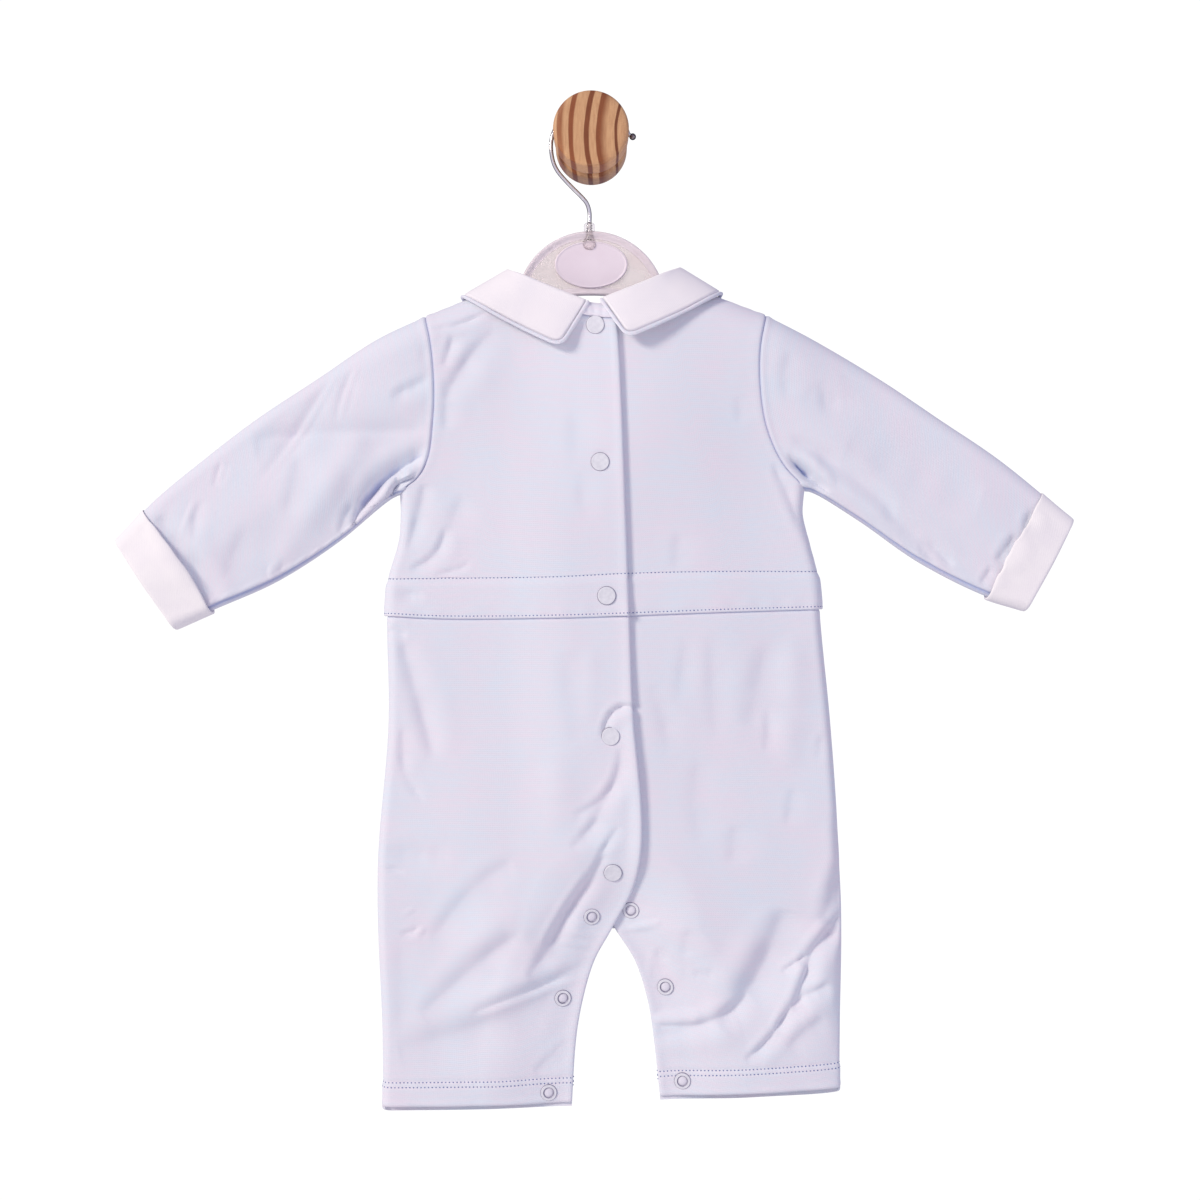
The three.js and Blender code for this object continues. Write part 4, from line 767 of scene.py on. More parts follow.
FRONT_CREASES = [
    # Bodice.
    (-70, -160, -48, -176, -20, -184, 6, 1.7, 0.2),
    (78, -166, 56, -184, 30, -190, 6, 1.6, -0.2),
    (-84, -152, -92, -180, -101, -204, 4, 1.7, 0.3),
    (-92, -200, -78, -214, -52, -222, 5, 1.7, 0.2),
    (-100, -222, -86, -234, -66, -241, 3.2, 1.5, 0.3),
    (88, -140, 94, -162, 104, -186, 3.6, 1.3, -0.3),
    (100, -204, 84, -216, 60, -226, 5, 1.7, -0.2),
    (106, -226, 92, -236, 74, -241, 3, 1.3, -0.3),
    (-20, -150, -6, -190, 2, -238, 11, 1.2, 0),
    # Seat and belly, below the waistband.
    (-95, -280, -90, -316, -93, -352, 5, 1.9, 0.3),
    (-60, -286, -52, -340, -56, -400, 11, 1.6, 0.2),
    (-26, -284, -24, -306, -29, -330, 4.5, 0.9, 0.3),
    (4, -286, 10, -330, 4, -386, 9, 1.3, 0),
    (38, -284, 43, -314, 41, -346, 5, 1.1, -0.3),
    (70, -282, 62, -340, 66, -410, 11, 1.7, -0.2),
    (104, -284, 99, -320, 101, -352, 5, 1.6, -0.3),
    # Left leg.
    (-2, -402, -20, -432, -46, -462, 4.6, 3.4, 0.35),
    (-14, -436, -34, -456, -64, -474, 5, 2.4, 0.3),
    (-104, -420, -92, -462, -66, -502, 6, 3, 0.34),
    (-84, -404, -66, -420, -40, -430, 7, 1.4, 0),
    (-16, -470, -46, -488, -86, -500, 3.4, 2.2, 0.3),
    (-36, -500, -60, -514, -92, -522, 5, 1.7, 0.2),
    # Right leg.
    (26, -404, 42, -438, 70, -468, 5, 3.2, -0.35),
    (34, -444, 54, -462, 84, -478, 4.2, 2.6, -0.3),
    (128, -424, 116, -466, 92, -508, 5, 3.6, -0.34),
    (133, -452, 124, -480, 108, -500, 3.2, 2.6, -0.3),
    (44, -486, 74, -500, 108, -510, 4, 2.1, -0.3),
    (88, -396, 92, -420, 88, -444, 7, 1.2, 0),
]
FRONT_CENTRE = (1.5, -122)
FRONT_SNAPS = snap_places("snap_front")


def front_place(flat):
    """Inner face of the front at flat x-z places."""
    x, z = flat[..., 0], flat[..., 1]
    h = half_depth(x, z)
    calm = np.ones_like(x)
    for sx, sz in FRONT_SNAPS:
        calm *= 1 - 0.9 * np.exp(-((x - sx) ** 2 + (z - sz) ** 2) / 64)
    inward = (crease_depth(FRONT_CREASES, x, z) + soft_waves(x, z, 2.4) * 0.5) * calm * ease(h / 3.8)
    return np.stack([x, Y_MID + np.maximum(h - inward, np.minimum(h, INSEAM_HALF)), z], -1)


def both_ends(us):
    """Shares of a half that runs in from a side, as shares of the whole width."""
    return np.concatenate([us / 2, 1 - us[-2::-1] / 2])


def front_bodice():
    us, vs = spacing(122, 0.3, 2), bodice_rows(146)
    halves = [shoulder_and_neck(side, FRONT_CENTRE, us) for side in (LEFT, RIGHT)]
    top = np.concatenate([halves[0], halves[1][-2::-1]])
    left, right = bodice_side(LEFT, vs), bodice_side(RIGHT, vs)
    whole = both_ends(us)
    low_x = mix(left[-1, 0], right[-1, 0], whole)
    low = np.stack([low_x, lookup(WAIST, 1, low_x)], -1)
    edges = {"left": "seam", "right": "seam", "top": "seam"}
    grid = patch(top, low, left, right, whole, vs)
    made, _, _ = panel("front_bodice_cloth", grid, front_place, 1, edges, CLOTH, len(us) - 1)
    cloth_piece(made, "front_bodice", (250, 168), 33000)


front_bodice()

# ---- Waistband --------------------------------------------------------------------------------------
# An inset band of the same interlock cut double, so it stands a little proud: two backs that lap with the
# placket, and a front. Its lower edge is stitched down 2 mm in, its upper edge along the seam.

BAND_CLOTH = 2.1
STITCH_PITCH = 2.1


def stitch_rows(name, lines, material, length=1.05, thick=0.9, pitch=STITCH_PITCH):
    """Rows of thread stitches along lines of points that lie on the cloth, made by a node group."""
    tree = bpy.data.node_groups.get("stitch_row") or stitch_group()
    points, edges = [], []
    for line in lines:
        edges += [(len(points) + i, len(points) + i + 1) for i in range(len(line) - 1)]
        points += (np.asarray(line) / 1000).tolist()
    mesh = bpy.data.meshes.new(name)
    mesh.from_pydata(points, edges, [])
    made = bpy.data.objects.new(name, mesh)
    bpy.context.scene.collection.objects.link(made)
    live = made.modifiers.new("stitches", "NODES")
    live.node_group = tree
    wanted = {"Pitch": pitch / 1000, "Length": length / 1000, "Thickness": thick / 1000, "Thread": material}
    for item in tree.interface.items_tree:
        if item.name in wanted:
            live[item.identifier] = wanted[item.name]
    done = bpy.data.meshes.new_from_object(made.evaluated_get(bpy.context.evaluated_depsgraph_get()))
    made.modifiers.clear()
    made.data = done
    done.name = name
    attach(made, "root")
    return made


def stitch_group():
    """Node group: short thread stitches, pitch apart, along every line of a mesh of edges."""
    tree = bpy.data.node_groups.new("stitch_row", "GeometryNodeTree")
    face = tree.interface
    face.new_socket("Lines", in_out="INPUT", socket_type="NodeSocketGeometry")
    for title, usual in (("Pitch", 0.0022), ("Length", 0.0015), ("Thickness", 0.0004)):
        face.new_socket(title, in_out="INPUT", socket_type="NodeSocketFloat").default_value = usual
    face.new_socket("Thread", in_out="INPUT", socket_type="NodeSocketMaterial")
    face.new_socket("Stitches", in_out="OUTPUT", socket_type="NodeSocketGeometry")
    given = add_node(tree, "NodeGroupInput").outputs
    lines = add_node(tree, "GeometryNodeMeshToCurve", {"Mesh": given["Lines"]})
    even = add_node(tree, "GeometryNodeResampleCurve", {"Curve": lines, "Length": given["Pitch"]}, mode="LENGTH")
    bead = add_node(tree, "GeometryNodeMeshIcoSphere", {"Radius": 0.5, "Subdivisions": 1})
    along = add_node(tree, "GeometryNodeInputTangent")
    turn = add_node(tree, "FunctionNodeAlignRotationToVector", {"Vector": along}, axis="X")
    vary = add_node(tree, "FunctionNodeRandomValue", {"Min": 0.82, "Max": 1.12, "Seed": 3}, data_type="FLOAT")
    uneven = add_node(tree, "Math", {0: given["Length"], 1: vary.outputs[1]}, operation="MULTIPLY")
    size = add_node(tree, "CombineXYZ", {"X": uneven, "Y": given["Thickness"], "Z": given["Thickness"]})
    placed = add_node(
        tree, "GeometryNodeInstanceOnPoints", {"Points": even, "Instance": bead, "Rotation": turn, "Scale": size},
    )
    real = add_node(tree, "GeometryNodeRealizeInstances", {"Geometry": placed})
    smooth = add_node(tree, "GeometryNodeSetShadeSmooth", {"Geometry": real})
    painted = add_node(tree, "GeometryNodeSetMaterial", {"Geometry": smooth, "Material": given["Thread"]})
    add_node(tree, "NodeGroupOutput", {0: painted})
    return tree


def thread_material():
    """Polyester sewing thread with a slight twist and shine, coloured much deeper than the cloth: partly its own
    blue, partly painted shade for the shadowed needle holes it sits in.
    """
    made, tree = new_tree("blue_sewing_thread")
    place = add_node(tree, "TexCoord").outputs["Object"]
    ply = add_node(tree, "TexNoise", {"Vector": place, "Scale": 1400.0, "Detail": 2.0})
    bump = add_node(tree, "Bump", {"Height": ply, "Strength": 0.4, "Distance": 0.0001})
    colour = add_node(tree, "ValToRGB", {"Fac": ply}, stops=[(0.3, "#5c6898"), (0.7, "#7a86b5")])
    finish_shader(tree, Base_Color=colour, Roughness=0.55, Normal=bump, Sheen_Weight=0.1)
    return made


THREAD = thread_material()


def row_at(outer, normals, edge, inset, sink=0.12):
    """Line of points on a panel's outer face at a distance in from its top or low edge."""
    _, columns = distances(outer)
    depth = columns if edge == "top" else columns[-1:] - columns
    line = []
    for i in range(outer.shape[1]):
        order = np.argsort(depth[:, i])
        spot = [np.interp(inset, depth[order, i], outer[order, i, k]) for k in range(3)]
        way = [np.interp(inset, depth[order, i], normals[order, i, k]) for k in range(3)]
        line.append(np.array(spot) - sink * np.array(way))
    return np.array(line)


def waistband(name, flat_us, ends, place, side, edges, column, flat, area):
    vs = spacing(21, 0.4, 0.4, 0.9)
    z = mix(-247.5, -269.5, vs)[:, None] + np.zeros_like(flat_us)
    for _ in range(3):
        x = mix(ends[0](z[:, 0])[:, None], ends[1](z[:, -1])[:, None], flat_us[None])
        z = mix(lookup(WAIST, 1, x), lookup(WAIST, 2, x), vs[:, None])
    grid = np.stack([x, z], -1)

    def puffed(inner):
        rows, columns = distances(inner)
        down = columns / columns[-1:]
        flare = 0.9 * ease((down - 0.4) / 0.6) * np.exp(-((np.minimum(rows, rows[:, -1:] - rows) / 5) ** 2))
        rib = 0.12 * np.sin(rows / 2.6 + 2 * np.sin(rows / 17)) * fade(down - 0.83, 0.14)
        sewn = -0.16 * fade(columns[-1:] - columns - 1.9, 0.6)
        return 0.2 * np.sin(down * math.pi) + flare + rib + sewn

    made, outer, normals = panel(
        name + "_cloth", grid, place, side, edges, BAND_CLOTH, column, puffed, name == "waistband_back_left"
    )
    rows = stitch_rows(
        name + "_stitches", [row_at(outer, normals, "top", 0.3), row_at(outer, normals, "low", 1.9)], THREAD
    )
    cloth_piece(made, name, flat, area)


def side_x(column):
    return lambda z: lookup(SIDES, column, z)


def free_x(column):
    return lambda z: lookup(FREE_EDGES, column, z)


band_us, band_half = spacing(135, 0.3, 0.45, 1.4), spacing(122, 0.3, 2)
for name, us, ends, place, side, edges, column, flat, area in (
    ("back_left", band_us, (side_x(1), free_x(1)), over, -1, ("fold", "free"), -1, (142, 23), 3200),
    ("back_right", 1 - band_us[::-1], (free_x(2), side_x(2)), under, -1, ("free", "fold"), 0, (142, 23), 3200),
    ("front", both_ends(band_half), (side_x(1), side_x(2)), front_place, 1, ("fold", "fold"),
     len(band_half) - 1, (254, 23), 5800),
):
    edges = {"left": edges[0], "right": edges[1], "top": "flush", "low": "lap"}
    waistband("waistband_" + name, us, ends, place, side, edges, column, flat, area)

# ---- Legs -------------------------------------------------------------------------------------------
# Two backs that lap above the crotch and part below it, and a front that is one piece to the crotch. Each
# leg ends in a 13 mm hem turned up and held by two rows of stitches, and the inside legs lie flush.

HEMS = {"left": (-546.3, -544.5), "right": (-536, -541)}
FRONT_HEM_DROP = 2.4
HEM = 13.3
HEM_ROWS = (11.9, 14.7)


def leg_rows(middle=2.0):
    """Shares down a leg, in growing steps to the hem and then a millimetre at a time."""
    to_hem, hem = 262, 17
    upper = spacing(to_hem, 0.45, 1.0, middle) * to_hem
    return np.concatenate([upper, to_hem + np.arange(1.0, hem + 1)]) / (to_hem + hem)


def leg_outline(side, drop, us, vs, inner_top_x):
    """Outline places of one half of the legs: top, hem, side fold and inner edge."""
    column = side["column"]
    outer_x = lookup(SIDES, column, -270.0)
    hem_outer, hem_inner = (z - drop for z in HEMS[side["name"]])
    outer_z = mix(lookup(WAIST, 2, outer_x), hem_outer, vs)
    inner_z = mix(lookup(WAIST, 2, inner_top_x), hem_inner, vs)
    outer = np.stack([lookup(SIDES, column, outer_z), outer_z], -1)
    inner = np.stack([lookup(FREE_EDGES, column, inner_z), inner_z], -1)
    top_x = mix(outer[0, 0], inner_top_x, us)
    top = np.stack([top_x, lookup(WAIST, 2, top_x)], -1)
    low = mix(outer[-1], inner[-1], us[:, None])
    if drop:
        low[:, 1] -= 0.65 * half_depth(low[:, 0], low[:, 1])
    return top, low, outer, inner


def hem_relief(inner):
    """The hem's second layer, its two sunk rows of stitches and the fine ripple between them."""
    rows, columns = distances(inner)
    up = columns[-1:] - columns
    fold = 0.5 * (1 - ease((up - HEM + 0.6) / 1.2))
    for row in HEM_ROWS:
        fold -= 0.32 * fade(up - row, 0.8)
    rope = np.sin(rows / 1.5 + 1.4 * np.sin(rows / 9)) * fade(up - HEM, 2.2)
    slow = np.sin(rows / 5.5 + np.sin(rows / 21)) * fade(up, 7)
    return fold + 0.08 * rope + 0.22 * slow


def back_leg(side, flat, area):
    column, name = side["column"], f"back_leg_{side['name']}"
    us, vs = spacing(140, 0.3, 0.45, 1.3), leg_rows(1.3)
    top, low, outer_line, inner_line = leg_outline(side, 0, us, vs, lookup(FREE_EDGES, column, -269.5))
    inner_line[0] = top[-1]
    grid = patch(top, low, outer_line, inner_line, us, vs)
    edges = {"left": "fold", "right": "free", "top": "under", "low": "free"}
    lapped = side is LEFT
    made, outer, normals = panel(
        name + "_cloth", grid, over if lapped else under, -1, edges, CLOTH, -1, hem_relief, lapped
    )
    lines = [row_at(outer, normals, "low", row) for row in HEM_ROWS]
    rows = stitch_rows(name + "_stitches", lines, THREAD)
    cloth_piece(made, name, flat, area)


back_leg(LEFT, (156, 282), 35500)
back_leg(RIGHT, (152, 280), 33500)


def front_legs():
    us, vs = spacing(132, 0.3, 0.6), leg_rows()
    grids = []
    for side in (LEFT, RIGHT):
        top, low, outer_line, _ = leg_outline(side, FRONT_HEM_DROP, us, vs, CROTCH[0])
        hem_z = HEMS[side["name"]][1] - FRONT_HEM_DROP
        crotch = int(np.argmin(np.abs(mix(top[-1, 1], hem_z, vs) - CROTCH[1])))
        z = np.where(
            np.arange(len(vs)) <= crotch, mix(top[-1, 1], CROTCH[1], vs / vs[crotch]),
            mix(CROTCH[1], hem_z, (vs - vs[crotch]) / (1 - vs[crotch])),
        )
        x = np.where(z >= CROTCH[1], CROTCH[0], lookup(FREE_EDGES, side["column"], z))
        grids.append(patch(top, low, outer_line, np.stack([x, z], -1), us, vs))
    flat = np.concatenate([grids[0], grids[1][:, ::-1]], 1)
    rows, columns = flat.shape[:2]
    centre = len(us)
    inner = front_place(flat)
    half_normals = [grid_normals(inner[:, :centre], 1), grid_normals(inner[:, centre:], 1)]
    depth = half_depth(flat[..., 0], flat[..., 1])
    normals = close_normals(np.concatenate(half_normals, 1), depth)
    normals[:crotch, centre - 1 : centre + 1] = (0, 1, 0)
    kept, pucker, extra = [], [], []
    for part, side_edge in ((inner[:, :centre], "left"), (inner[:, centre:], "right")):
        a, b, _ = seam_relief(part, {side_edge: "fold", "top": "under", "low": "free"})
        kept.append(a)
        pucker.append(b)
        extra.append(hem_relief(part))
    kept, rise = np.concatenate(kept, 1), np.concatenate(pucker, 1) + np.concatenate(extra, 1)
    outer = inner + normals * (CLOTH * kept + rise)[..., None]
    outer[: crotch + 1, centre] = outer[: crotch + 1, centre - 1]
    quads = grid_faces(rows, columns)
    quads = quads[(quads % columns).min(1) != centre - 1]
    same = np.arange(rows * columns).reshape(rows, columns)
    same[: crotch + 1, centre] = same[: crotch + 1, centre - 1]
    used, quads = np.unique(same.ravel()[quads], return_inverse=True)
    made = cloth_wall(
        "front_legs_cloth", inner.reshape(-1, 3)[used], outer.reshape(-1, 3)[used],
        flat_uv(inner, centre - 1)[used], BLUE_CLOTH, quads=quads.reshape(-1, 4),
    )
    lines = [
        row_at(outer[:, half], normals[:, half], "low", row)
        for half in (slice(0, centre), slice(centre, None))
        for row in HEM_ROWS
    ]
    rows = stitch_rows("front_legs_stitches", lines, THREAD)
    cloth_piece(made, "front_legs", (268, 286), 66000)


front_legs()

# ---- Sleeves ----------------------------------------------------------------------------------------
# Set-in sleeves of the same interlock, each one piece folded along its top and sewn along the underarm,
# where the seam rolls a little to the back. They hang nearly flat and bunch under the arm.

SLEEVE_HALF = np.array([(0, 9.5), (0.5, 8.5), (1, 7)])
LEFT["sleeve_top"] = [
    (-93.2, -101.6), (-121, -114.8), (-155, -137.3), (-189, -159.8), (-218.4, -182.3), (-245.8, -205),
    (-266.6, -226.6),
]
LEFT["sleeve_low"] = [
    (-107, -199), (-116.4, -203.6), (-142.6, -226), (-177.6, -248.8), (-214, -265), (-234.4, -274.2),
]
RIGHT["sleeve_top"] = [
    (98.2, -100.9), (125.5, -115), (163.2, -137.4), (196.6, -159.8), (230, -182.4), (270.2, -215.2),
]
RIGHT["sleeve_low"] = [
    (119.4, -197), (127.6, -199.6), (153, -215.4), (185, -237.8), (221.6, -256.4), (244.4, -263.8),
]
SLEEVE_CREASES = [
    # Left sleeve: the hollow under the hanger's arm, pressed folds, and the bunching under the arm.
    (-189, -173.6, -147.6, -168.7, -90.3, -166.7, 12, 2.6, -0.2),
    (-187.4, -169.6, -147.9, -167.1, -90.6, -165.7, 3.2, 0.7, 0.3),
    (-88.1, -136.2, -98.4, -140.7, -111.8, -147, 3.4, 1.7, 0.28),
    (-91.3, -118.7, -92.3, -122.6, -90.3, -127.5, 3, 0.8, 0.28),
    (-141.6, -133.1, -160.3, -163.7, -184, -196.3, 1.3, -0.45, 0),
    (-146, -136.1, -162.8, -162.7, -185.5, -194.3, 5, 0.7, 0.35),
    (-130.1, -130.4, -135.5, -142.8, -140.5, -161.5, 1.4, -0.4, 0),
    (-133.6, -132.3, -138.5, -144.1, -143.4, -159.9, 3.5, 0.6, 0.34),
    (-206, -182.1, -207.2, -188.1, -209.2, -195, 1.2, -0.4, 0),
    (-208, -183.3, -209.5, -189.2, -211.9, -197.1, 2.5, 0.6, 0.34),
    (-222, -203.9, -226.4, -214.8, -230.9, -227.6, 1.2, -0.5, 0),
    (-217.7, -205, -221.7, -214.9, -222.7, -228.7, 2.8, 0.7, 0.33),
    (-127, -169.4, -152.7, -205.9, -178.3, -244.4, 8, -1.6, 0),
    (-162.9, -179.8, -164.8, -195.6, -170.7, -213.3, 6, 0.8, 0.33),
    (-113, -181.9, -126.8, -199.6, -140.6, -215.4, 9, 0.9, 0.34),
    (-178.9, -240.4, -179.9, -244.3, -180.3, -248.3, 1.4, -0.4, 0),
    (-172.2, -236.8, -174.2, -243.7, -176.2, -248.7, 3, 0.7, 0.34),
    (-190.7, -217.8, -198.6, -233.6, -204.5, -249.4, 6, 0.7, 0.35),
    (-243, -213.4, -227.2, -236.1, -207.5, -262.8, 5, 2.4, 0.14),
    (-87, -179, -110, -189.6, -134, -218, 3.8, 5, -0.3),
    (-125.4, -200.2, -131.3, -210.1, -133.3, -219.9, 2, 1.4, 0.34),
    (-132.9, -205.3, -137.8, -213.2, -140.8, -223.1, 3, 1, 0.35),
    (-92, -186.5, -112.6, -196.4, -129.5, -217.5, 2.4, -2.6, 0),
    (-99, -192.4, -108.8, -195.2, -113.6, -204, 1.7, 5, 0.34),
    (-113.9, -202.3, -121.8, -210.2, -131.7, -218.6, 1.5, 1.6, 0.33),
    # Right sleeve: a pocket under the arm, a long soft fold from it, a broad hollow and the cuff's gathers.
    (110.5, -180.5, 120, -189.4, 133, -199.5, 3.4, 6, 0.08),
    (112, -170.5, 139.6, -185.8, 171, -212, 4.4, 1.6, 0.03),
    (163.7, -208.7, 184.4, -225.4, 204.2, -241.2, 4.5, 1.2, 0.05),
    (121.1, -186.1, 144.8, -200.9, 174.4, -223.6, 5, -1, 0),
    (142.8, -174.8, 180.3, -190.6, 217.8, -204.4, 14, 1.5, -0.05),
    (122, -142.3, 135.8, -150.2, 149.6, -147.2, 7, 0.8, -0.12),
    (190.1, -227.9, 198, -235.8, 203.9, -241.7, 2, 0.6, 0.09),
    (184.1, -229.9, 189.1, -235.8, 195, -240.8, 2, 0.6, 0.09),
    (248.1, -209.4, 245.2, -215.3, 242.2, -221.2, 3, 1.4, 0.35),
    (238.3, -223.5, 233.4, -231.4, 227.5, -239.3, 3.6, 1.8, 0.35),
    (225.2, -242, 222.3, -246.9, 219.3, -251.8, 2.6, 1.2, 0.35),
    (128.3, -138.4, 131.3, -148.3, 130.3, -157.2, 4, 0.6, 0.28),
    (113, -122, 109.1, -133.9, 111, -147.7, 5, 0.6, 0.31),
]
SLEEVE_FRONT_CREASES = [
    (-96, -176, -118, -190, -140, -214, 6, 3.0, 0.3),
    (112, -176, 128, -190, 150, -206, 6, 3.0, 0.3),
    (-140, -140, -170, -178, -206, -224, 10, 1.6, 0),
    (140, -138, 172, -176, 214, -222, 10, 1.6, 0),
    (-120, -130, -132, -150, -136, -170, 8, 1.2, 0),
    (124, -130, 136, -150, 140, -172, 8, 1.2, 0),
]


def sleeve_surface(side):
    """The sleeve's inner face as a function of share along it and turn round it from the top fold."""
    armhole, top, low = (smooth_line(side[key]) for key in ("armhole", "sleeve_top", "sleeve_low"))

    def at(s, turn):
        w = (1 - np.cos(turn * 2 * math.pi)) / 2
        ends = mix(top(1), low(1), w[..., None])
        a, s3 = armhole(w), s[..., None]
        corner = mix(mix(top(0), top(1), s3), mix(low(0), low(1), s3), w[..., None])
        flat = mix(a, ends, s3) + mix(top(s), low(s), w[..., None]) - corner
        wide = np.linalg.norm(top(s) - low(s), axis=-1)
        edges = 0.55 * round_in(w * wide / 6) * round_in((1 - w) * wide / 4)
        tube = lookup(SLEEVE_HALF, 1, s) * (edges + 0.45 * ease(w * wide / 45) * ease((1 - w) * wide / 45))
        h = mix(half_depth(a[..., 0], a[..., 1]), tube, ease(s / 0.4))
        x, z = flat[..., 0], flat[..., 1]
        back = np.sin(turn * 2 * math.pi) > 0
        crease = np.where(
            back, crease_depth(SLEEVE_CREASES, x, z) + 0.4 * soft_waves(x, z, 1.3),
            crease_depth(SLEEVE_FRONT_CREASES, x, z) + 0.4 * soft_waves(x, z, 3.1),
        )
        h = np.maximum(h - crease * ease(h / 3.5) * ease(s * 16), np.minimum(h, 0.6))
        return np.stack([x, Y_MID - np.where(back, h, -h), z], -1)

    return at


def outward_from_axis(normals, grid):
    """Turns a tube's normals away from its own middle line."""
    middle = grid.mean(1, keepdims=True)
    return normals * math.copysign(1, ((grid - middle) * normals).sum())


def sleeve(side, flat, area):
    name = f"sleeve_{side['name']}"
    ss = spacing(200, 0.45, 2, 1.4)
    turns = np.sort(np.concatenate([np.arange(140) / 140, 0.5 - np.linspace(0.0325, 0.0655, 12)]))
    low = int(np.argmin(np.abs(turns - 0.5)))
    s, turn = np.meshgrid(ss, turns, indexing="ij")
    inner = sleeve_surface(side)(s, turn)
    normals = outward_from_axis(grid_normals(inner, None, wrap=True), inner)
    normals[:, [0, low], 1] = 0
    normals = unit(normals)
    closed = np.concatenate([inner, inner[:, :1]], 1)
    rows, columns = distances(closed)
    rows, cap = rows[:, :-1], columns[:, :-1]
    kept = 1 - 0.55 * fade(cap, 0.6)
    wave = np.sin(rows[:1] / 1.6 + 1.7 * np.sin(rows[:1] / 13))
    rise = 0.08 * wave * np.exp(-((cap - 2) ** 2) / 7) + 0.35 * np.exp(-((cap - 1.9) ** 2) / 2.5)
    low_fold = inner[:, low : low + 1]
    strip = 1.3 + (1.3 if side is LEFT else 0) * (1 - ease(s / 0.4))
    under = np.hypot(inner[..., 0] - low_fold[..., 0], inner[..., 2] - low_fold[..., 2]) - strip
    under = np.where(turn < 0.5, under, 99)
    roll = np.sin(cap / 2.1 + 2 * np.sin(cap / 11))
    kept = kept * (1 - 0.65 * fade(under, 0.5))
    # Painted shade down in the cap seam, along the underarm seam and in the back's deep folds.
    painted_fold_shade = np.maximum(0.3 * fade(cap, 0.8), 0.6 * fade(under, 0.7))
    deep = deep_fold_shade_share(SLEEVE_CREASES, inner[..., 0], inner[..., 2])
    painted_fold_shade = np.maximum(painted_fold_shade, np.where(turn < 0.5, deep, 0))
    rise += (0.12 + 0.1 * roll) * fade(under - 1.9, 1.2)
    rise += 0.25 * fade(under + 1.1, 0.8)
    outer = inner + normals * (CLOTH * kept + rise)[..., None]
    uv = np.stack([rows, -cap], -1)
    made = cloth_wall(name + "_cloth", inner, outer, uv, BLUE_CLOTH, painted_fold_shade, wrap=True)
    cloth_piece(made, name, flat, area)


sleeve(LEFT, (216, 196), 36000)
sleeve(RIGHT, (206, 186), 33000)

# ---- Cuffs ------------------------------------------------------------------------------------------
# Turned-back cuffs of white cotton twill, two layers, closed over the sleeve's raw end at the wrist. The
# upper edge stands a little off the sleeve.

CUFF_CLOTH = 1.9
CUFF_DEPTH = 21.4


def white_cotton(name, light, deep, pitch, slant, strength):
    """White cotton: fine diagonal twill or plain weave, drawn coarser than real to be seen, matt, with the
    faint warm cast and slow unevenness of washed cloth."""
    made, tree = new_tree(name)
    uv = add_node(tree, "UVMap", uv_map="cloth_mm")
    turned = add_node(tree, "Mapping", {"Vector": uv, "Rotation": (0, 0, slant)})
    scale = 2 * math.pi / 20 / (pitch / 1000)
    ribs = add_node(
        tree, "TexWave", {"Vector": turned, "Scale": scale, "Distortion": 0.5, "Detail": 1.0, "Detail Scale": 1.5},
    )
    yarn = add_node(tree, "TexNoise", {"Vector": uv, "Scale": 1000.0, "Detail": 2.0})
    cast = add_node(tree, "TexNoise", {"Vector": uv, "Scale": 45.0, "Detail": 4.0})
    relief = add_node(tree, "Math", {0: yarn, 1: 0.8, 2: ribs.outputs["Fac"]}, operation="MULTIPLY_ADD")
    bump = add_node(tree, "Bump", {"Height": relief, "Strength": strength, "Distance": 0.00018})
    tint = add_node(tree, "ValToRGB", {"Fac": cast}, stops=[(0.3, light), (0.7, deep)])
    # Painted shade: the hollows of the weave relief are a touch darker.
    painted_weave_shade = add_node(tree, "ValToRGB", {"Fac": relief}, stops=[(0.3, "#c4bcc6"), (1.0, "#ffffff")])
    shade = add_node(
        tree, "Mix", {"Factor": 0.06, 6: tint, 7: painted_weave_shade}, data_type="RGBA", blend_type="MULTIPLY",
    )
    rough = add_node(tree, "MapRange", {"Value": yarn, "To Min": 0.8, "To Max": 0.95})
    finish_shader(
        tree, Base_Color=shade.outputs[2], Roughness=rough, Normal=bump, Specular_IOR_Level=0.25, Sheen_Weight=0.12,
        Sheen_Roughness=0.45,
    )
    return made


WHITE_TWILL = white_cotton("white_cotton_twill", "#f4f1f2", "#efebef", 1.1, 0.9, 0.2)


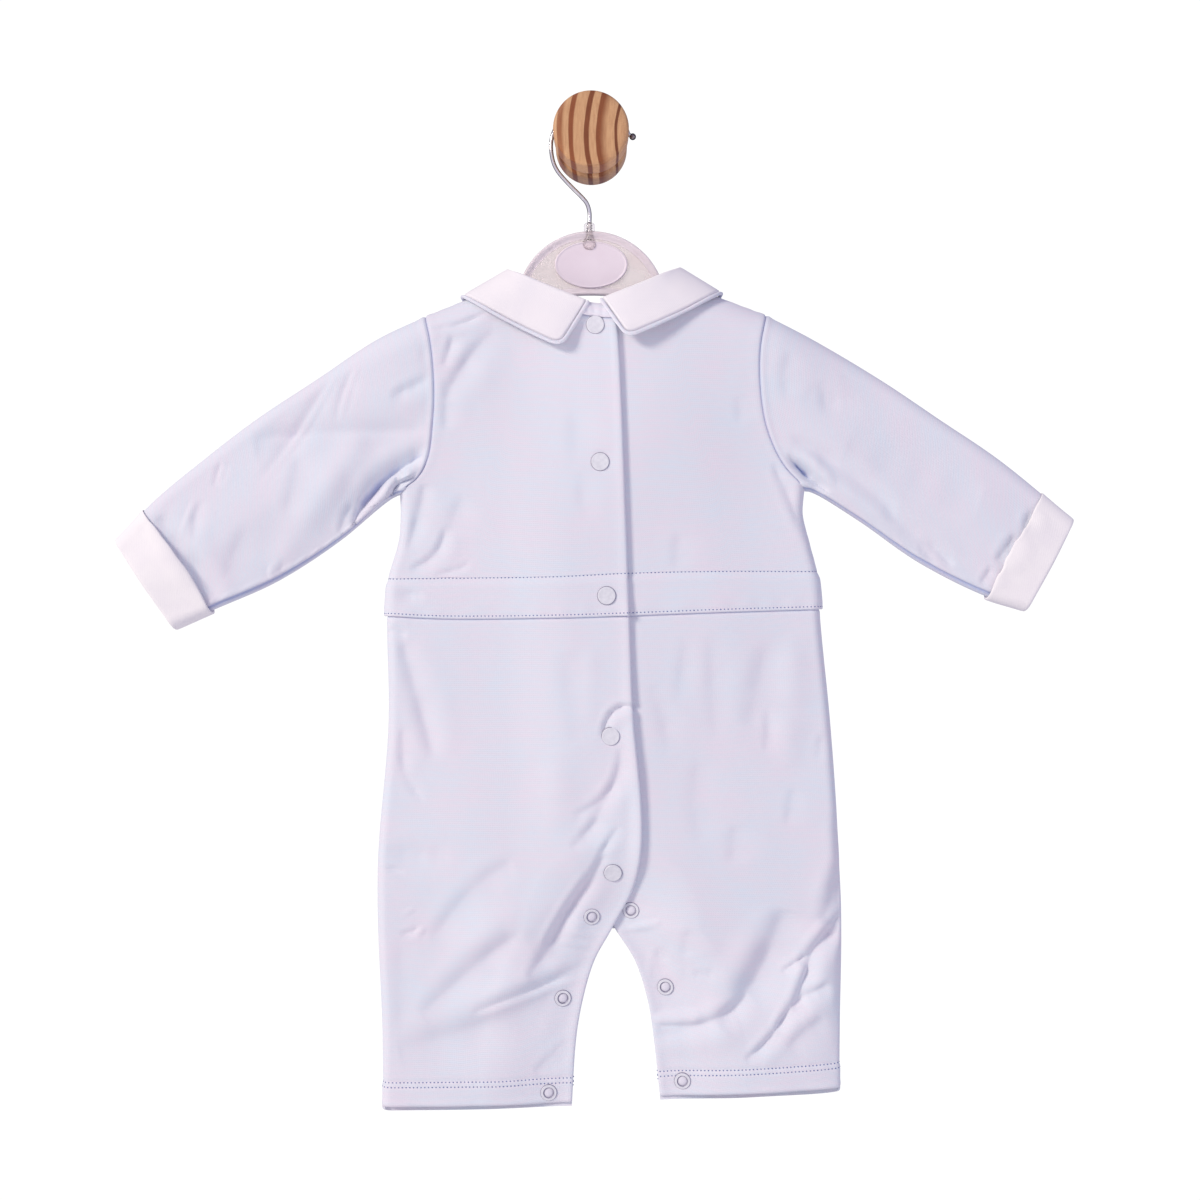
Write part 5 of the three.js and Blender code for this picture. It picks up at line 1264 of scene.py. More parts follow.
def cuff(side, flat, area):
    name = f"cuff_{side['name']}"
    at = sleeve_surface(side)
    top, low = (np.array(side[key], float) for key in ("sleeve_top", "sleeve_low"))
    long, short = (np.linalg.norm(line[-1] - line[0]) for line in (top, low))
    out = CLOTH + 0.5
    skin = out + CUFF_CLOTH
    outside = np.arange(-CUFF_DEPTH + 0.6, 0.9, 1.0)
    profile = [(-CUFF_DEPTH + 1, out)]
    profile += [(-CUFF_DEPTH + 0.2, out + 0.25), (-CUFF_DEPTH, out + 0.8), (-CUFF_DEPTH + 0.15, skin - 0.35)]
    profile += [(p, skin) for p in outside]
    profile += [(1.3, skin - 0.25), (1.8, skin - 0.9)]
    profile += [(2.0, out + 0.4), (2.0, 1.0), (1.8, 0.2), (0.4, 0.2), (0.4, out)]
    mm, off = np.array(profile).T
    lift = 0.5 * np.clip(-mm / CUFF_DEPTH, 0, 1) ** 3
    lift = np.where(np.arange(len(mm)) >= len(mm) - 3, 0, lift)
    turns = np.arange(116) / 116
    m, turn = np.meshgrid(mm, turns, indexing="ij")
    s = 1 + m / mix(long, short, (1 - np.cos(turn * 2 * math.pi)) / 2)
    inside = at(np.minimum(s, 1), turn)
    end, before = at(np.ones_like(s), turn), at(np.full_like(s, 0.98), turn)
    base = np.where((s > 1)[..., None], end + (end - before) * ((s - 1) / 0.02)[..., None], inside)
    e = 0.01
    along = at(np.minimum(s, 1), turn) - at(np.minimum(s, 1) - e, turn)
    about = at(np.minimum(s, 1), turn + e) - at(np.minimum(s, 1), turn - e)
    n = outward_from_axis(unit(np.cross(along, about)), base)
    ripple = 0.16 * np.sin(turn * 2 * math.pi * 5 + m / 9) + 0.1 * np.sin(turn * 2 * math.pi * 13 + m / 4)
    full = np.abs(np.sin(turn * 2 * math.pi)) ** 0.6
    thin = mix(0.35, 1, ease((1 - np.cos(turn * 2 * math.pi)) * 1.2)) * mix(0.8, 1, full)
    rise = np.minimum(off, CLOTH)[:, None] + np.maximum(off - CLOTH, 0)[:, None] * thin
    rise += (1.7 * lift)[:, None] * full + np.where(np.abs(off[:, None] - skin) < 0.3, ripple * 0.6 * full, 0)
    points = base + n * rise[..., None]
    around = np.cumsum(np.linalg.norm(np.diff(points, axis=1, prepend=points[:, :1]), axis=2), 1)
    run = np.cumsum(np.hypot(np.diff(mm, prepend=mm[0]), np.diff(off, prepend=off[0])))
    uv = np.stack([around, run[:, None] + 0 * around], -1).reshape(-1, 2)
    ring = grid_faces(len(mm), len(turns), wrap=True)
    last = np.arange(len(turns)) + (len(mm) - 1) * len(turns)
    first = np.arange(len(turns))
    closing = np.stack([last, first, np.roll(first, -1), np.roll(last, -1)], -1)
    faces = np.concatenate([ring, closing]).tolist()
    made = mesh_object(name + "_cloth", points.reshape(-1, 3), faces, uv, WHITE_TWILL)
    cloth_piece(made, name, flat, area)


cuff(LEFT, (140, 30), 3700)
cuff(RIGHT, (130, 30), 3400)

# ---- Neckband ---------------------------------------------------------------------------------------
# A narrow upright strip of the blue interlock that closes the neckline seam under the collar, gathered a
# little so that it puffs between its seams.

NECKBAND_CLOTH, NECKBAND_HEIGHT = 1.5, 7.6


def neckband():
    us = np.linspace(0, 1, 60)

    def seam(side, centre, place):
        return place(shoulder_and_neck(side, centre, mix(SHOULDER_SHARE, 1, us)))

    back = {side["name"]: (lookup(FREE_EDGES, side["column"], BACK_NECK_Z), BACK_NECK_Z) for side in (LEFT, RIGHT)}
    low = np.concatenate(
        [
            seam(LEFT, back["left"], over)[::-1], seam(LEFT, FRONT_CENTRE, front_place)[1:],
            seam(RIGHT, FRONT_CENTRE, front_place)[-2::-1], seam(RIGHT, back["right"], under)[1:],
        ]
    )
    run = running(low)
    even = np.linspace(0, run[-1], int(run[-1] / 0.9))
    low = along_line(low, run, even)
    vs = np.linspace(1, 0, 9)[:, None, None]
    inner = low[None] + vs * np.array([0, 0, NECKBAND_HEIGHT])
    n = unit(np.cross(np.gradient(low, axis=0), (0, 0, 1)))
    away = low - np.array([2, Y_MID, 0])
    n *= math.copysign(1, (n[:, :2] * away[:, :2]).sum())
    puff = 0.9 * np.sin(vs[..., 0] * math.pi) ** 0.6
    gather = 0.2 * np.sin(even / 0.75 + 1.5 * np.sin(even / 5))[None] * np.sin(vs[..., 0] * math.pi)
    kept = 0.5 + 0.5 * round_in((1 - vs[..., 0]) * NECKBAND_HEIGHT / 1.2)
    outer = inner + n[None] * (NECKBAND_CLOTH * kept + puff + gather)[..., None]
    uv = np.stack([even[None] + 0 * vs[..., 0], vs[..., 0] * NECKBAND_HEIGHT + 0 * even[None]], -1)
    made = cloth_wall("neckband_cloth", inner, outer, uv, BLUE_CLOTH)
    cloth_piece(made, "neckband", (302, 10), 2100)


neckband()

# ---- Collar and piping ------------------------------------------------------------------------------
# A flat two-piece collar of fine white cotton, each half two layers turned out, laid from the centre back
# over the shoulder to the centre front. A cord covered in the blue cloth is sewn into its edge.

COLLAR_CLOTH = 1.8
COLLAR_OFF = CLOTH + 0.5
PIPING_R = 1.05
LEFT.update(fold_neck=(-46.8, -75), fold_end=(-2.6, -93.8), tip_back=(-17.2, -118.6), collar_x=-70.2)
RIGHT.update(fold_neck=(49.8, -73.8), fold_end=(6.4, -92.4), tip_back=(20.6, -113.4), collar_x=71)
WHITE_COLLAR = white_cotton("white_cotton_lawn", "#f2eef1", "#ece9ee", 0.95, 0.0, 0.2)


def over_shoulder(side, x, rise):
    """Point above (or below) the shoulder seam, square to it, at a place across."""
    (tx, tz), (nx, nz) = side["tip"], side["neck"]
    length = math.hypot(tx - nx, tz - nz)
    z = nz + (x - nx) * (tz - nz) / (tx - nx)
    slope = (tz - nz) * math.copysign(1, tx - nx) / length
    return np.array([x - rise * slope, z + rise * abs(tx - nx) / length])


def collar_place(side, t, v, front):
    """Inner face of a collar half: t from the shoulder to the centre, v from the neck to the outer edge."""
    sign = side["sign"]
    length, width, corner = 62, 34, 5.0
    dx, dy = (1 - t) * length, (1 - v) * width
    qx, qy = np.clip(corner - dx, 0, corner), np.clip(corner - dy, 0, corner)
    pull = np.where((qx > 0) & (qy > 0), np.maximum(qx, qy) / np.maximum(np.hypot(qx, qy), 1e-9), 1)
    t = 1 - np.where(qx > 0, corner - qx * pull, dx) / length
    v = 1 - np.where(qy > 0, corner - qy * pull, dy) / width
    fold_end = (FRONT_CENTRE[0] + sign * 2.4, FRONT_CENTRE[1] + 8) if front else side["fold_end"]
    tip = (FRONT_CENTRE[0] + sign * 14, -148) if front else side["tip_back"]
    ridge = over_shoulder(side, side["collar_x"], COLLAR_OFF + 1.5)

    def along(a, b, sag):
        return np.stack([mix(a[0], b[0], t), mix(a[1], b[1], t) - sag * np.sin(t * math.pi)], -1)

    fold = along(side["fold_neck"], fold_end, 4 if front else 0.6)
    flat = mix(fold, along(ridge, tip, 12 if front else 1.2), v[..., None])
    x, z = flat[..., 0], flat[..., 1]
    lift = 0 if front else PLACKET_LIFT * ease((x + 66) / 54) * ease((62 - x) / 44)
    d = segment_distance(x, z, side["fold_neck"], ridge)
    full = lookup(DEPTHS, 1, z) + COLLAR_OFF + lift
    h = full * round_in(d / (SHOULDER_REACH + COLLAR_OFF))
    bow = 0.5 * np.sin(x / 9 + z / 13) + 0.3 * np.sin(x / 5 - z / 21)
    stand = mix(0.15, 0.5, t) * (1 + bow) + v**2 * (0.1 + 3.3 * t)
    h = h + stand * ease(d / 18)
    return np.stack([x, Y_MID + np.where(front, h, -h), z], -1)


def collar(side, flat, area):
    name = side["name"]
    ts = spacing(64, 2, 0.4)
    vs = spacing(36, 0.5, 0.4, 1.6)
    t, v = np.meshgrid(ts, vs, indexing="xy")
    back, front = (collar_place(side, t, v, side_of) for side_of in (False, True))
    inner = np.concatenate([back[:, ::-1], front[:, 1:]], 1)
    normals = grid_normals(inner, None)
    outward = inner - np.array([side["sign"] * 40, Y_MID, -170])
    normals *= math.copysign(1, (normals * outward).sum())
    rows, columns = distances(inner)
    edge = np.minimum(np.minimum(rows, rows[:, -1:] - rows), columns[-1:] - columns)
    kept = 1 - 0.6 * fade(edge, 0.6)
    kept *= mix(0.35, 1, round_in(columns / 1.2))
    rise = 0.06 * np.sin((rows + columns) / 1.7) * np.exp(-((edge - 2) ** 2) / 3)
    rise -= 0.16 * fade(edge - 1.9, 0.5)
    outer = inner + normals * (COLLAR_CLOTH * kept + rise)[..., None]
    made = cloth_wall(f"collar_{name}_cloth", inner, outer, np.stack([rows, -columns], -1), WHITE_COLLAR)
    cord = piping(f"piping_{name}_cord", inner, normals)
    fixed(cord, f"piping_{name}")
    cloth_piece(made, f"collar_{name}", flat, area)


def tube(name, path, radii, around, uv_turn, material, frames=None):
    """A closed round tube along points, with a UV map of length and turn."""
    path = np.asarray(path, float)
    radii = np.broadcast_to(radii, len(path))
    along = unit(np.gradient(path, axis=0))
    a = unit(np.cross(along, (0, 1, 0)) if frames is None else frames)
    b = np.cross(along, a)
    turn = np.arange(around) / around * 2 * math.pi
    ring = a[:, None] * np.cos(turn)[None, :, None] + b[:, None] * np.sin(turn)[None, :, None]
    points = path[:, None] + ring * radii[:, None, None]
    uv = np.stack([turn / (2 * math.pi) * uv_turn + 0 * radii[:, None], running(path)[:, None] + 0 * turn], -1)
    faces = grid_faces(len(path), around, wrap=True).tolist()
    faces += [list(range(around)), [(len(path) - 1) * around + k for k in range(around)]]
    return mesh_object(name, points.reshape(-1, 3), faces, uv.reshape(-1, 2), material)


def piping(name, inner, normals):
    """The covered cord along the collar's two ends and its outer edge, just outside them."""
    mid = inner + normals * COLLAR_CLOTH * 0.5
    rim = np.concatenate([mid[:-1, 0], mid[-1, :-1], mid[::-1, -1]])
    lean = np.concatenate([normals[:-1, 0], normals[-1, :-1], normals[::-1, -1]])
    run = running(rim)
    even = np.arange(0, run[-1], 0.9)
    rim, lean = along_line(rim, run, even), along_line(lean, run, even)
    out = unit(np.cross(np.gradient(rim, axis=0), lean))
    heart = inner[inner.shape[0] // 2, inner.shape[1] // 2]
    out *= math.copysign(1, ((rim - heart) * out).sum())
    radii = PIPING_R * (1 + 0.03 * np.sin(even / 1.9) + 0.03 * np.sin(even / 5.3))
    radii[[0, -1]] *= 0.6
    return tube(name, rim + out * (PIPING_R + 0.25), radii, 12, 6.6, BLUE_CLOTH, frames=out)


collar(LEFT, (130, 62), 5200)
collar(RIGHT, (130, 62), 5000)

# ---- Snap fasteners ---------------------------------------------------------------------------------
# Pressed metal snaps enamelled to match: five flat caps down the placket with sockets on the layer below,
# and open prong rings inside each leg with caps on the front. The cloth puffs a little inside a ring.


def snap_metal(name, scale, detail, relief, tones, rough, **rest):
    """Pressed metal, slightly uneven in tone, gloss and surface."""
    made, tree = new_tree(name)
    place = add_node(tree, "TexCoord").outputs["Object"]
    fine = add_node(tree, "TexNoise", {"Vector": place, "Scale": scale, "Detail": detail})
    bump = add_node(tree, "Bump", {"Height": fine, "Strength": relief, "Distance": 0.0001})
    gloss = add_node(tree, "MapRange", {"Value": fine, "To Min": rough[0], "To Max": rough[1]})
    colour = add_node(tree, "ValToRGB", {"Fac": fine}, stops=[(0.3, tones[0]), (0.7, tones[1])])
    finish_shader(tree, Base_Color=colour, Roughness=gloss, Normal=bump, **rest)
    return made


# Baked pale enamel, satin and a touch deeper than the cloth. The turned edge is a dark dull grey: bare metal,
# darkened as painted shade for the contact shadow between snap and cloth.
ENAMEL = snap_metal(
    "pale_blue_enamel", 520.0, 3.0, 0.08, ("#d6d7df", "#e2e3ea"), (0.42, 0.56), Coat_Weight=0.1, Coat_Roughness=0.3
)
SNAP_EDGE_SHADE = snap_metal("snap_edge_painted_shadow", 700.0, 2.0, 0.1, ("#8d8a9c", "#a9a6b8"), (0.4, 0.6), Metallic=0.4)
CAP_PROFILE = [
    (0, 0), (4.9, 0), (5.15, 0.1), (5.3, 0.2), (5.15, 0.32), (4.93, 0.4),
    (4.9, 0.8), (4.8, 0.94), (4.6, 1.0), (4.3, 0.95), (2.2, 0.98), (0, 1.0),
]
RING_PROFILE = [
    (2.6, -0.3), (2.65, 0.15), (2.95, 0.66), (3.15, 0.8), (3.4, 0.82), (3.6, 0.72),
    (3.8, 0.7), (4.0, 0.8), (4.25, 0.8), (4.45, 0.66), (4.75, 0.2), (4.8, -0.2),
]
# The bands of each profile that take the dark edge: bare metal, darkened as painted contact shadow.
CAP_SHADOW_BANDS, RING_SHADOW_BANDS = (2, 3, 4), (0, 1, 2, 9, 10, 11)
STUD_PROFILE = [(0, -0.2), (2.6, -0.2), (2.6, 0.3), (2.2, 0.5), (1.4, 0.5), (1.3, 0.75), (0, 0.8)]
PUFF_PROFILE = [(2.85, -0.3), (2.5, 0.12), (1.8, 0.42), (0.9, 0.56), (0, 0.6)]


def lathe(name, profile, segments, seat, axis, material, closed=False, edge=()):
    """A turned form whose axis stands at the seat. The bands of its profile numbered in edge take the dark edge:
    bare metal, darkened as painted contact shadow.
    """
    spin = Vector((0, 0, 1)).rotation_difference(Vector(axis))
    points, faces, n = [], [], len(profile)
    for r, h in profile:
        for a in (2 * math.pi * k / segments for k in range(segments)):
            points.append(spin @ Vector((r * math.cos(a), r * math.sin(a), h)) + Vector(seat))
    for j in range(n if closed else n - 1):
        here, there = j * segments, (j + 1) % n * segments
        for k in range(segments):
            m = (k + 1) % segments
            faces.append((here + k, here + m, there + m, there + k))
    made = mesh_object(name, points, faces, None, material)
    if edge:
        made.data.materials.append(SNAP_EDGE_SHADE)
        bands = np.arange(len(faces)) // segments
        made.data.polygons.foreach_set("material_index", np.isin(bands, edge).astype(np.int32))
    shell = bmesh.new()
    shell.from_mesh(made.data)
    bmesh.ops.remove_doubles(shell, verts=shell.verts, dist=1e-6)
    bmesh.ops.recalc_face_normals(shell, faces=shell.faces)
    shell.to_mesh(made.data)
    shell.free()
    return made


def cloth_seat(place, x, z, side):
    """Point and outward axis of the cloth's outer face at one place."""
    step = 2.5
    flat = np.array([[(x - step, z + step), (x, z + step), (x + step, z + step)],
                     [(x - step, z), (x, z), (x + step, z)],
                     [(x - step, z - step), (x, z - step), (x + step, z - step)]], float)
    inner = place(flat)
    axis = grid_normals(inner, side)[1, 1]
    return inner[1, 1] + axis * CLOTH, axis


def snap(node, profile, segments, place, side, raise_by=0.0, closed=False, edge=()):
    low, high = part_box(node)
    x, z = (low[0] + high[0]) * 500, (low[2] + high[2]) * 500
    seat, axis = cloth_seat(place, x, z, side)
    seat = seat + axis * raise_by
    made = lathe(f"{node}_enamel", profile, segments, seat, axis, ENAMEL, closed, edge)
    fixed(made, node)
    return seat, axis


# The middle cap stands on the doubled waistband, and the lowest ring and front cap on the hem.
for number in range(1, 6):
    lift = BAND_CLOTH - CLOTH + 0.2 if number == 3 else 0.05
    snap(f"snap_cap_{number}", CAP_PROFILE, 40, over, -1, lift, edge=CAP_SHADOW_BANDS)
    if number != 3:
        snap(f"snap_stud_{number}", STUD_PROFILE, 24, under, -1)
for side in (LEFT, RIGHT):
    for number in range(1, 4):
        tag = f"{side['name']}_{number}"
        place = over if side is LEFT else under
        lift = 0.5 if number == 3 else 0.05
        seat, axis = snap(f"snap_ring_{tag}", RING_PROFILE, 36, place, -1, lift, closed=True, edge=RING_SHADOW_BANDS)
        puff = lathe(f"snap_ring_{tag}_puff", PUFF_PROFILE, 24, seat, axis, BLUE_CLOTH)
        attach(puff, "root")
        snap(f"snap_front_{tag}", CAP_PROFILE, 40, front_place, 1, lift, edge=CAP_SHADOW_BANDS)

# ---- Hanger -----------------------------------------------------------------------------------------
# One moulding of clear plastic: a thin web inside a rounded rim bead, a round head, two arms and an arched
# foot, with a boss that takes the hook. A plain oval plate is set on the head; it carries nothing.

HANGER_WEB = 1.8
DOME_R, DOME_Z = 42.4, -94.5
STEM_X, WIRE_END_Z = -1.0, -61.0
LABEL_Z, LABEL_HALF = -71.3, (20.6, 13.2)


def clear_plastic(name, colour, rough, transmission, edge):
    """Clear polystyrene, faintly pink and clouded by handling, with fine scratches in gloss and surface. Seen edge
    on, its colour turns darker: painted shade for the dark refraction at its rounded edges."""
    made, tree = new_tree(name)
    place = add_node(tree, "TexCoord").outputs["Object"]
    cloud = add_node(tree, "TexNoise", {"Vector": place, "Scale": 60.0, "Detail": 5.0})
    stretched = add_node(tree, "Mapping", {"Vector": place, "Scale": (900, 900, 60)})
    scratch = add_node(tree, "TexNoise", {"Vector": stretched, "Scale": 1.0, "Detail": 3.0})
    bump = add_node(tree, "Bump", {"Height": scratch, "Strength": 0.06, "Distance": 0.0002})
    gloss = add_node(tree, "MapRange", {"Value": cloud, "To Min": rough * 0.6, "To Max": rough * 1.5})
    tint = add_node(tree, "ValToRGB", {"Fac": cloud}, stops=[(0.3, colour[0]), (0.7, colour[1])])
    # Painted shade: the colour darkens towards the edge colour where the surface is seen edge on.
    facing = add_node(tree, "LayerWeight", {"Blend": 0.35})
    edge_on_shade = add_node(tree, "MapRange", {"Value": facing.outputs["Facing"], "From Min": 0.5, "From Max": 1.0})
    edge_shaded_tint = add_node(tree, "Mix", {0: edge_on_shade, 6: tint, 7: linear(edge)}, data_type="RGBA")
    finish_shader(
        tree, Base_Color=edge_shaded_tint.outputs[2], Roughness=gloss, Normal=bump, Transmission_Weight=transmission, IOR=1.45,
    )
    return made


CLEAR = clear_plastic("clear_hanger_plastic", ("#eaddde", "#f2e9ea"), 0.14, 0.72, "#a58f9f")
# The rim bead takes a lighter, less clear copy of the web's plastic: painted light for the bright band along the
# bead.
CLEAR_RIM_LIT = clear_plastic("clear_rim_plastic_painted_light", ("#f3e7ed", "#f9f0f5"), 0.16, 0.35, "#937d8d")
PLATE = clear_plastic("satin_label_plastic", ("#f3e6ef", "#f8edf5"), 0.42, 0.1, "#cfc0cc")
BOSS = clear_plastic("clear_boss_plastic", ("#ede6ec", "#f6f1f5"), 0.05, 0.95, "#8d7c8b")


def hanger_outline(margin):
    """The hanger's outline drawn inwards by a margin, with the same number of points for any margin."""
    drop, arm, arch_z, spread = 1.9, 12, -88.3, 0.39

    def bend(a, b, c, count):
        return [(1 - t) ** 2 * a + 2 * t * (1 - t) * b + t * t * c for t in np.linspace(0, 1, count + 1)[1:]]

    ends = []
    for side in (LEFT, RIGHT):
        sign = side["sign"]
        near = over_shoulder(side, side["neck"][0] * 0.93, -drop - 0.8 - margin)
        x, z = over_shoulder(side, side["tip"][0] * 0.93, -drop - margin)
        ends.append(
            {
                "near": near, "end": np.array([x - sign * margin, z - arm / 2]),
                "above": np.array([x - sign * margin, z]), "upper": np.array([x - sign * (5 + margin), z + 2]),
                "below": np.array([x - sign * margin, z - arm - 1 + margin]),
                "lower": np.array([x - sign * 8, z - arm + margin]),
            }
        )
    l, r = ends
    foot = np.array([0, arch_z + margin])
    line = [l["end"], *bend(l["end"], l["above"], l["upper"], 8), l["near"]]
    for a in np.linspace(math.pi - spread, spread, 121):
        line.append(np.array([(DOME_R - margin) * math.cos(a), DOME_Z + (DOME_R - margin) * math.sin(a)]))
    line += [r["near"], r["upper"], *bend(r["upper"], r["above"], r["end"], 8)]
    line += bend(r["end"], r["below"], r["lower"], 8)
    line += bend(r["lower"], foot + (40, 0), foot, 24)
    line += bend(foot, foot - (40, 0), l["lower"], 24)
    return np.array(line + bend(l["lower"], l["below"], l["end"], 8)[:-1])


def loop_faces(count, n):
    """Quads between loops of n points each."""
    return [
        (j * n + i, j * n + (i + 1) % n, (j + 1) * n + (i + 1) % n, (j + 1) * n + i)
        for j in range(count - 1)
        for i in range(n)
    ]


def hanger():
    web = HANGER_WEB / 2
    section = [(4.4, web), (3.8, web + 0.06), (3.1, web + 0.3), (2.4, 1.6), (1.8, 1.95), (1.2, 2.1), (0.7, 2.0)]
    section += [(0.3, 1.6), (0.05, 1.0), (0, 0.5)]
    section += [(m, -y) for m, y in section[::-1]]
    loops = [np.insert(hanger_outline(m), 1, Y_MID - y, axis=1) for m, y in section]
    n, count = len(loops[0]), len(loops)
    faces = loop_faces(count, n)
    for j in (0, count - 1):
        filled = tessellate_polygon([[Vector((p[0], p[2], 0)) for p in loops[j]]])
        faces += [tuple(j * n + k for k in triangle) for triangle in filled]
    # The rim bead's faces take the lighter copy: painted light.
    made = mesh_object("hanger_plastic", np.concatenate(loops), faces, None, CLEAR)
    made.data.materials.append(CLEAR_RIM_LIT)
    made.data.polygons.foreach_set("material_index", [int(k < (count - 1) * n) for k in range(len(faces))])
    fixed(made, "hanger")


def boss():
    """Where the hook's threaded end goes in: a collar above, a waist, and a round bulge on the plate."""
    profile = [(0, 0), (1.6, 0.1), (2.9, 0.8), (3.9, 2.2), (4.2, 3.9)]
    profile += [(3.8, 5.4), (2.9, 6.6), (2.5, 7.6), (2.5, 9.4)]
    profile += [(2.8, 10.4), (3.1, 11.6), (3.1, 14.6), (2.9, 15.4), (2.3, 16), (0, 16)]
    made = lathe("hanger_boss", profile, 36, (STEM_X, Y_MID, WIRE_END_Z - 2.5), (0, 0, 1), BOSS)
    fixed(made)


def label_plate():
    turns = np.linspace(0, 2 * math.pi, 72, endpoint=False)
    front = Y_MID - HANGER_WEB / 2 - 0.34
    section = [(1.0, 0), (1.0, 0.6), (0.99, 0.95), (0.97, 1.06), (0.95, 1.02), (0.935, 0.86), (0.925, 0.8)]
    section += [(0.9, 0.8), (0.5, 0.8), (0.02, 0.8)]
    points, n = [], len(turns)
    for k, h in section:
        for a in turns:
            points.append((k * LABEL_HALF[0] * math.cos(a), front - h, LABEL_Z + k * LABEL_HALF[1] * math.sin(a)))
    faces = loop_faces(len(section), n)
    faces += [tuple(range(n)), tuple((len(section) - 1) * n + i for i in range(n))]
    made = mesh_object("hanger_label_plate", points, faces, None, PLATE)
    fixed(made, "hanger_label")


hanger()
boss()
label_plate()

# ---- Hook -------------------------------------------------------------------------------------------
# Chromed steel wire bent over the peg's groove, with a ball at its free end and a threaded end that shows
# through the clear boss.

WIRE_R, HOOK_R, HOOK_Z = 1.15, 22.7, -4.0


def chrome_material(name, dull, bright, edge):
    """Chrome plate on drawn wire or a turned ball: bright, with faint draw marks, and its colour darker towards its
    edges as painted reflection of a darker room.
    """
    made, tree = new_tree(name)
    place = add_node(tree, "TexCoord").outputs["Object"]
    marks = add_node(tree, "TexNoise", {"Vector": place, "Scale": 300.0, "Detail": 4.0})
    gloss = add_node(tree, "MapRange", {"Value": marks, "To Min": 0.06, "To Max": 0.2})
    # Painted reflection: the colour darkens towards the edge colour where the surface is seen edge on.
    facing = add_node(tree, "LayerWeight", {"Blend": 0.5})
    rim = add_node(tree, "ValToRGB", {"Fac": facing.outputs["Facing"]}, stops=[(0.14, "#ffffff"), (0.36, edge)])
    plate = add_node(tree, "ValToRGB", {"Fac": marks}, stops=[(0.3, dull), (0.7, bright)])
    painted_reflection_mix = add_node(tree, "Mix", {0: 1.0, 6: plate, 7: rim}, data_type="RGBA", blend_type="MULTIPLY")
    colour = painted_reflection_mix.outputs[2]
    bump = add_node(tree, "Bump", {"Height": marks, "Strength": 0.05, "Distance": 0.0001})
    finish_shader(tree, Base_Color=colour, Metallic=0.7, Roughness=gloss, Normal=bump)
    return made


CHROME = chrome_material("chromed_wire", "#eeecee", "#faf8fa", "#5f5a60")
# The ball is the same chrome in a darker copy: painted reflection of a dark room.
BALL_CHROME_SHADED = chrome_material("chromed_ball_painted_shade", "#857c80", "#958c90", "#3c3539")


def hook():
    turns = np.linspace(math.pi, 0.62, 11)
    loop = [(HOOK_R * math.cos(a), HOOK_Z + HOOK_R * math.sin(a)) for a in turns]
    stem = [(STEM_X, WIRE_END_Z), (STEM_X, -50), (STEM_X, -41)]
    stem += [(-2.6, -36), (-5.4, -32.6), (-10, -28), (-15, -22.8)]
    end = [(20.2, 5.4), (21.3, 2.8), (23.5, 1.5)]
    line = smooth_line(stem + [(-19.2, -17.6), (-21.6, -12.2)] + loop + end)(np.linspace(0, 1, 420))
    path = np.insert(line, 1, Y_MID, axis=1)
    z = path[:, 2]
    threaded = (z < -47.5) & (np.abs(path[:, 0] - STEM_X) < 1)
    radii = np.where(threaded, WIRE_R - 0.15 + 0.28 * np.sin(z * 2 * math.pi / 1.3), WIRE_R)
    wire = tube("hook_wire", path, radii, 20, 7.2, CHROME)
    ball = bmesh.new()
    bmesh.ops.create_uvsphere(ball, u_segments=24, v_segments=16, radius=0.0019)
    bmesh.ops.translate(ball, verts=ball.verts, vec=Vector(path[-1]) / 1000)
    round_end = bpy.data.meshes.new("hook_ball")
    ball.to_mesh(round_end)
    ball.free()
    round_end.polygons.foreach_set("use_smooth", [True] * len(round_end.polygons))
    round_end.materials.append(BALL_CHROME_SHADED)
    made = bpy.data.objects.new("hook_ball", round_end)
    bpy.context.scene.collection.objects.link(made)
    fixed(made)
    fixed(wire, "hook")


hook()

# ---- Wall peg ---------------------------------------------------------------------------------------
# A peg turned from pine with a round head, a groove for the hook and a wider foot against the wall. The
# late-wood rings cross its face as dark, slightly bowed upright stripes and run straight along its side.

# Late-wood rings, as radii from the pith: where the ring starts to darken, its dark part, and its colour.
PEG_RINGS = [
    (60.2, 60.8, 62.0, "#74401f"),
    (66.2, 70.3, 72.2, "#854a24"),
    (75.8, 76.4, 78.6, "#7c431f"),
    (84.3, 85.0, 87.1, "#8a4c26"),
    (89.9, 91.4, 93.6, "#9a623c"),
]


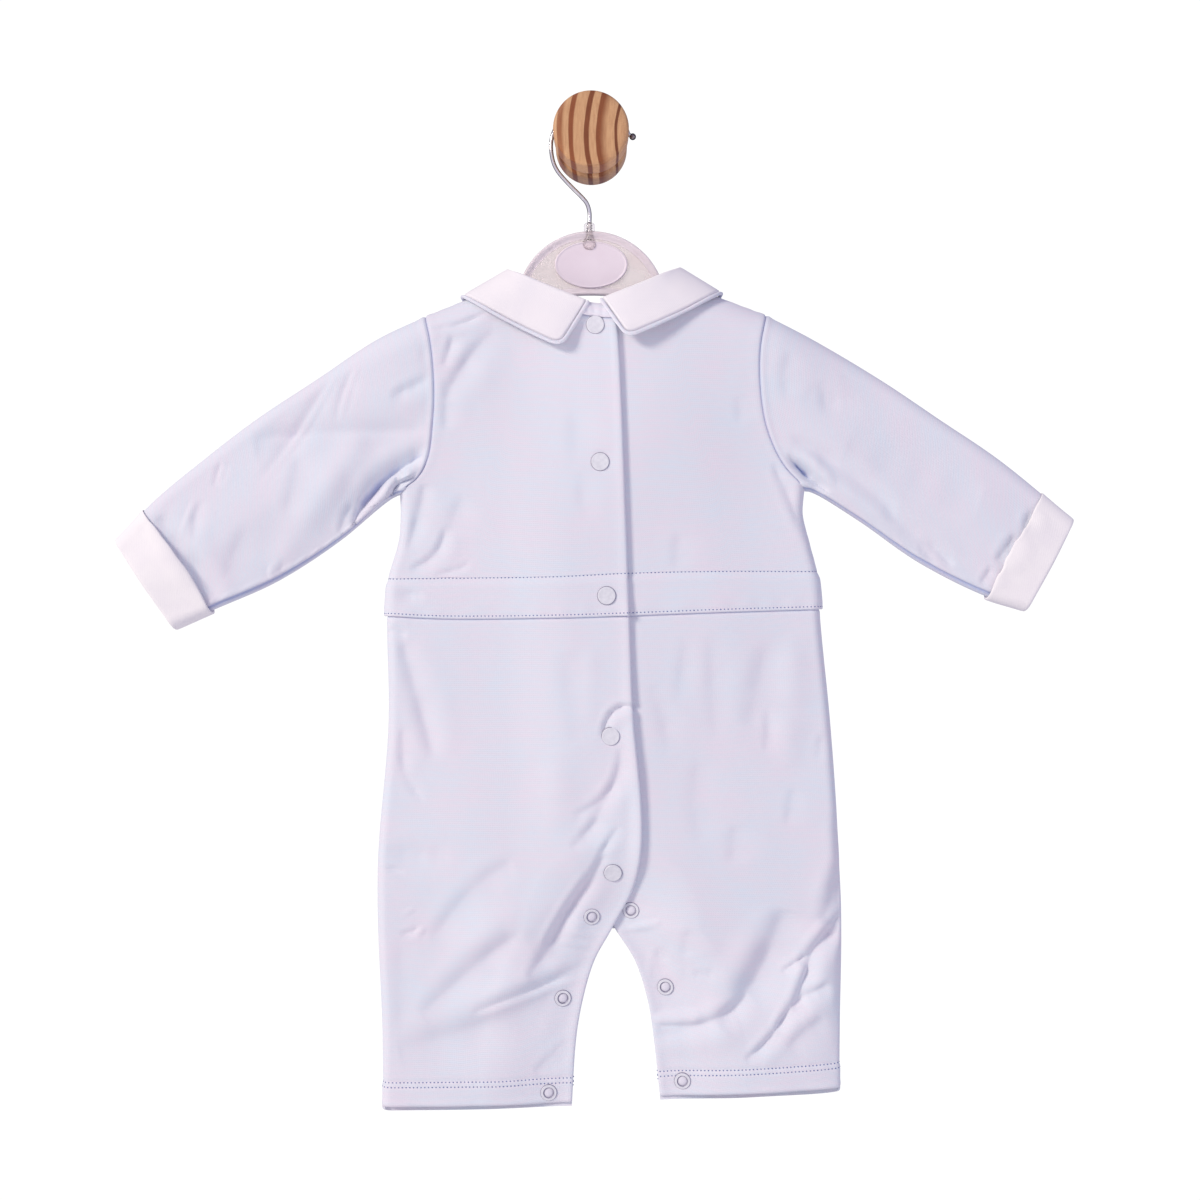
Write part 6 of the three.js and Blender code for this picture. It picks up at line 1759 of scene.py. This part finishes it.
def pine_material():
    """Oiled pine: honey early wood, brown late-wood rings round a far pith, pores and a worn satin finish."""
    made, tree = new_tree("oiled_pine")
    place = add_node(tree, "TexCoord").outputs["Object"]
    bent = add_node(tree, "TexNoise", {"Vector": place, "Scale": 22.0, "Detail": 3.0})
    split = add_node(tree, "SeparateXYZ", {"Vector": place})
    x = add_node(tree, "Math", {0: split.outputs["X"], 1: 0.075}, operation="SUBTRACT")
    z = add_node(tree, "Math", {0: split.outputs["Z"], 1: 0.003}, operation="ADD")
    flat = add_node(tree, "CombineXYZ", {"X": x, "Z": z})
    far = add_node(tree, "VectorMath", {0: flat}, operation="LENGTH")
    warped = add_node(tree, "Math", {0: bent, 1: 0.0035, 2: far.outputs["Value"]}, operation="MULTIPLY_ADD")
    ring = add_node(tree, "MapRange", {"Value": warped, "From Min": 0.052, "From Max": 0.102})
    stops, pale = [(0.0, "#c2986f")], "#c99f76"
    for start, dark_from, dark_to, dark in PEG_RINGS:
        for radius, colour in ((start, pale), (dark_from, dark), (dark_to, dark), (dark_to + 0.4, pale)):
            stops.append(((radius + 1.75 - 52) / 50, colour))
    rings = add_node(tree, "ValToRGB", {"Fac": ring}, stops=sorted(stops))
    grain = add_node(tree, "Mapping", {"Vector": place, "Scale": (900, 500, 130)})
    pores = add_node(tree, "TexNoise", {"Vector": grain, "Scale": 1.0, "Detail": 4.0})
    worn = add_node(tree, "ValToRGB", {"Fac": pores}, stops=[(0.35, "#cfa47f"), (0.6, "#fff6ea")])
    colour = add_node(tree, "Mix", {0: 0.35, 6: rings, 7: worn}, data_type="RGBA", blend_type="MULTIPLY")
    bump = add_node(tree, "Bump", {"Height": pores, "Strength": 0.18, "Distance": 0.0002})
    rough = add_node(tree, "MapRange", {"Value": pores, "To Min": 0.42, "To Max": 0.62})
    finish_shader(tree, Base_Color=colour.outputs[2], Roughness=rough, Normal=bump)
    return made


def peg():
    profile = [
        (0, 0), (20.3, 0), (20.5, 0.3), (20.5, 14.2), (20.2, 15.0), (19.4, 15.8), (18.2, 16.0), (17.3, 16.4),
        (17.2, 17.2), (17.2, 22.9), (17.4, 23.7), (18.4, 24.0), (19.6, 24.2), (20.5, 24.8), (20.95, 25.8),
        (21, 27), (21, 39.8), (20.8, 40.8), (20.2, 41.5), (19.2, 41.9), (16, 42), (0, 42),
    ]
    made = lathe("peg_wood", profile, 96, (0, 0, 0), (0, -1, 0), pine_material())
    fixed(made, "peg")


peg()
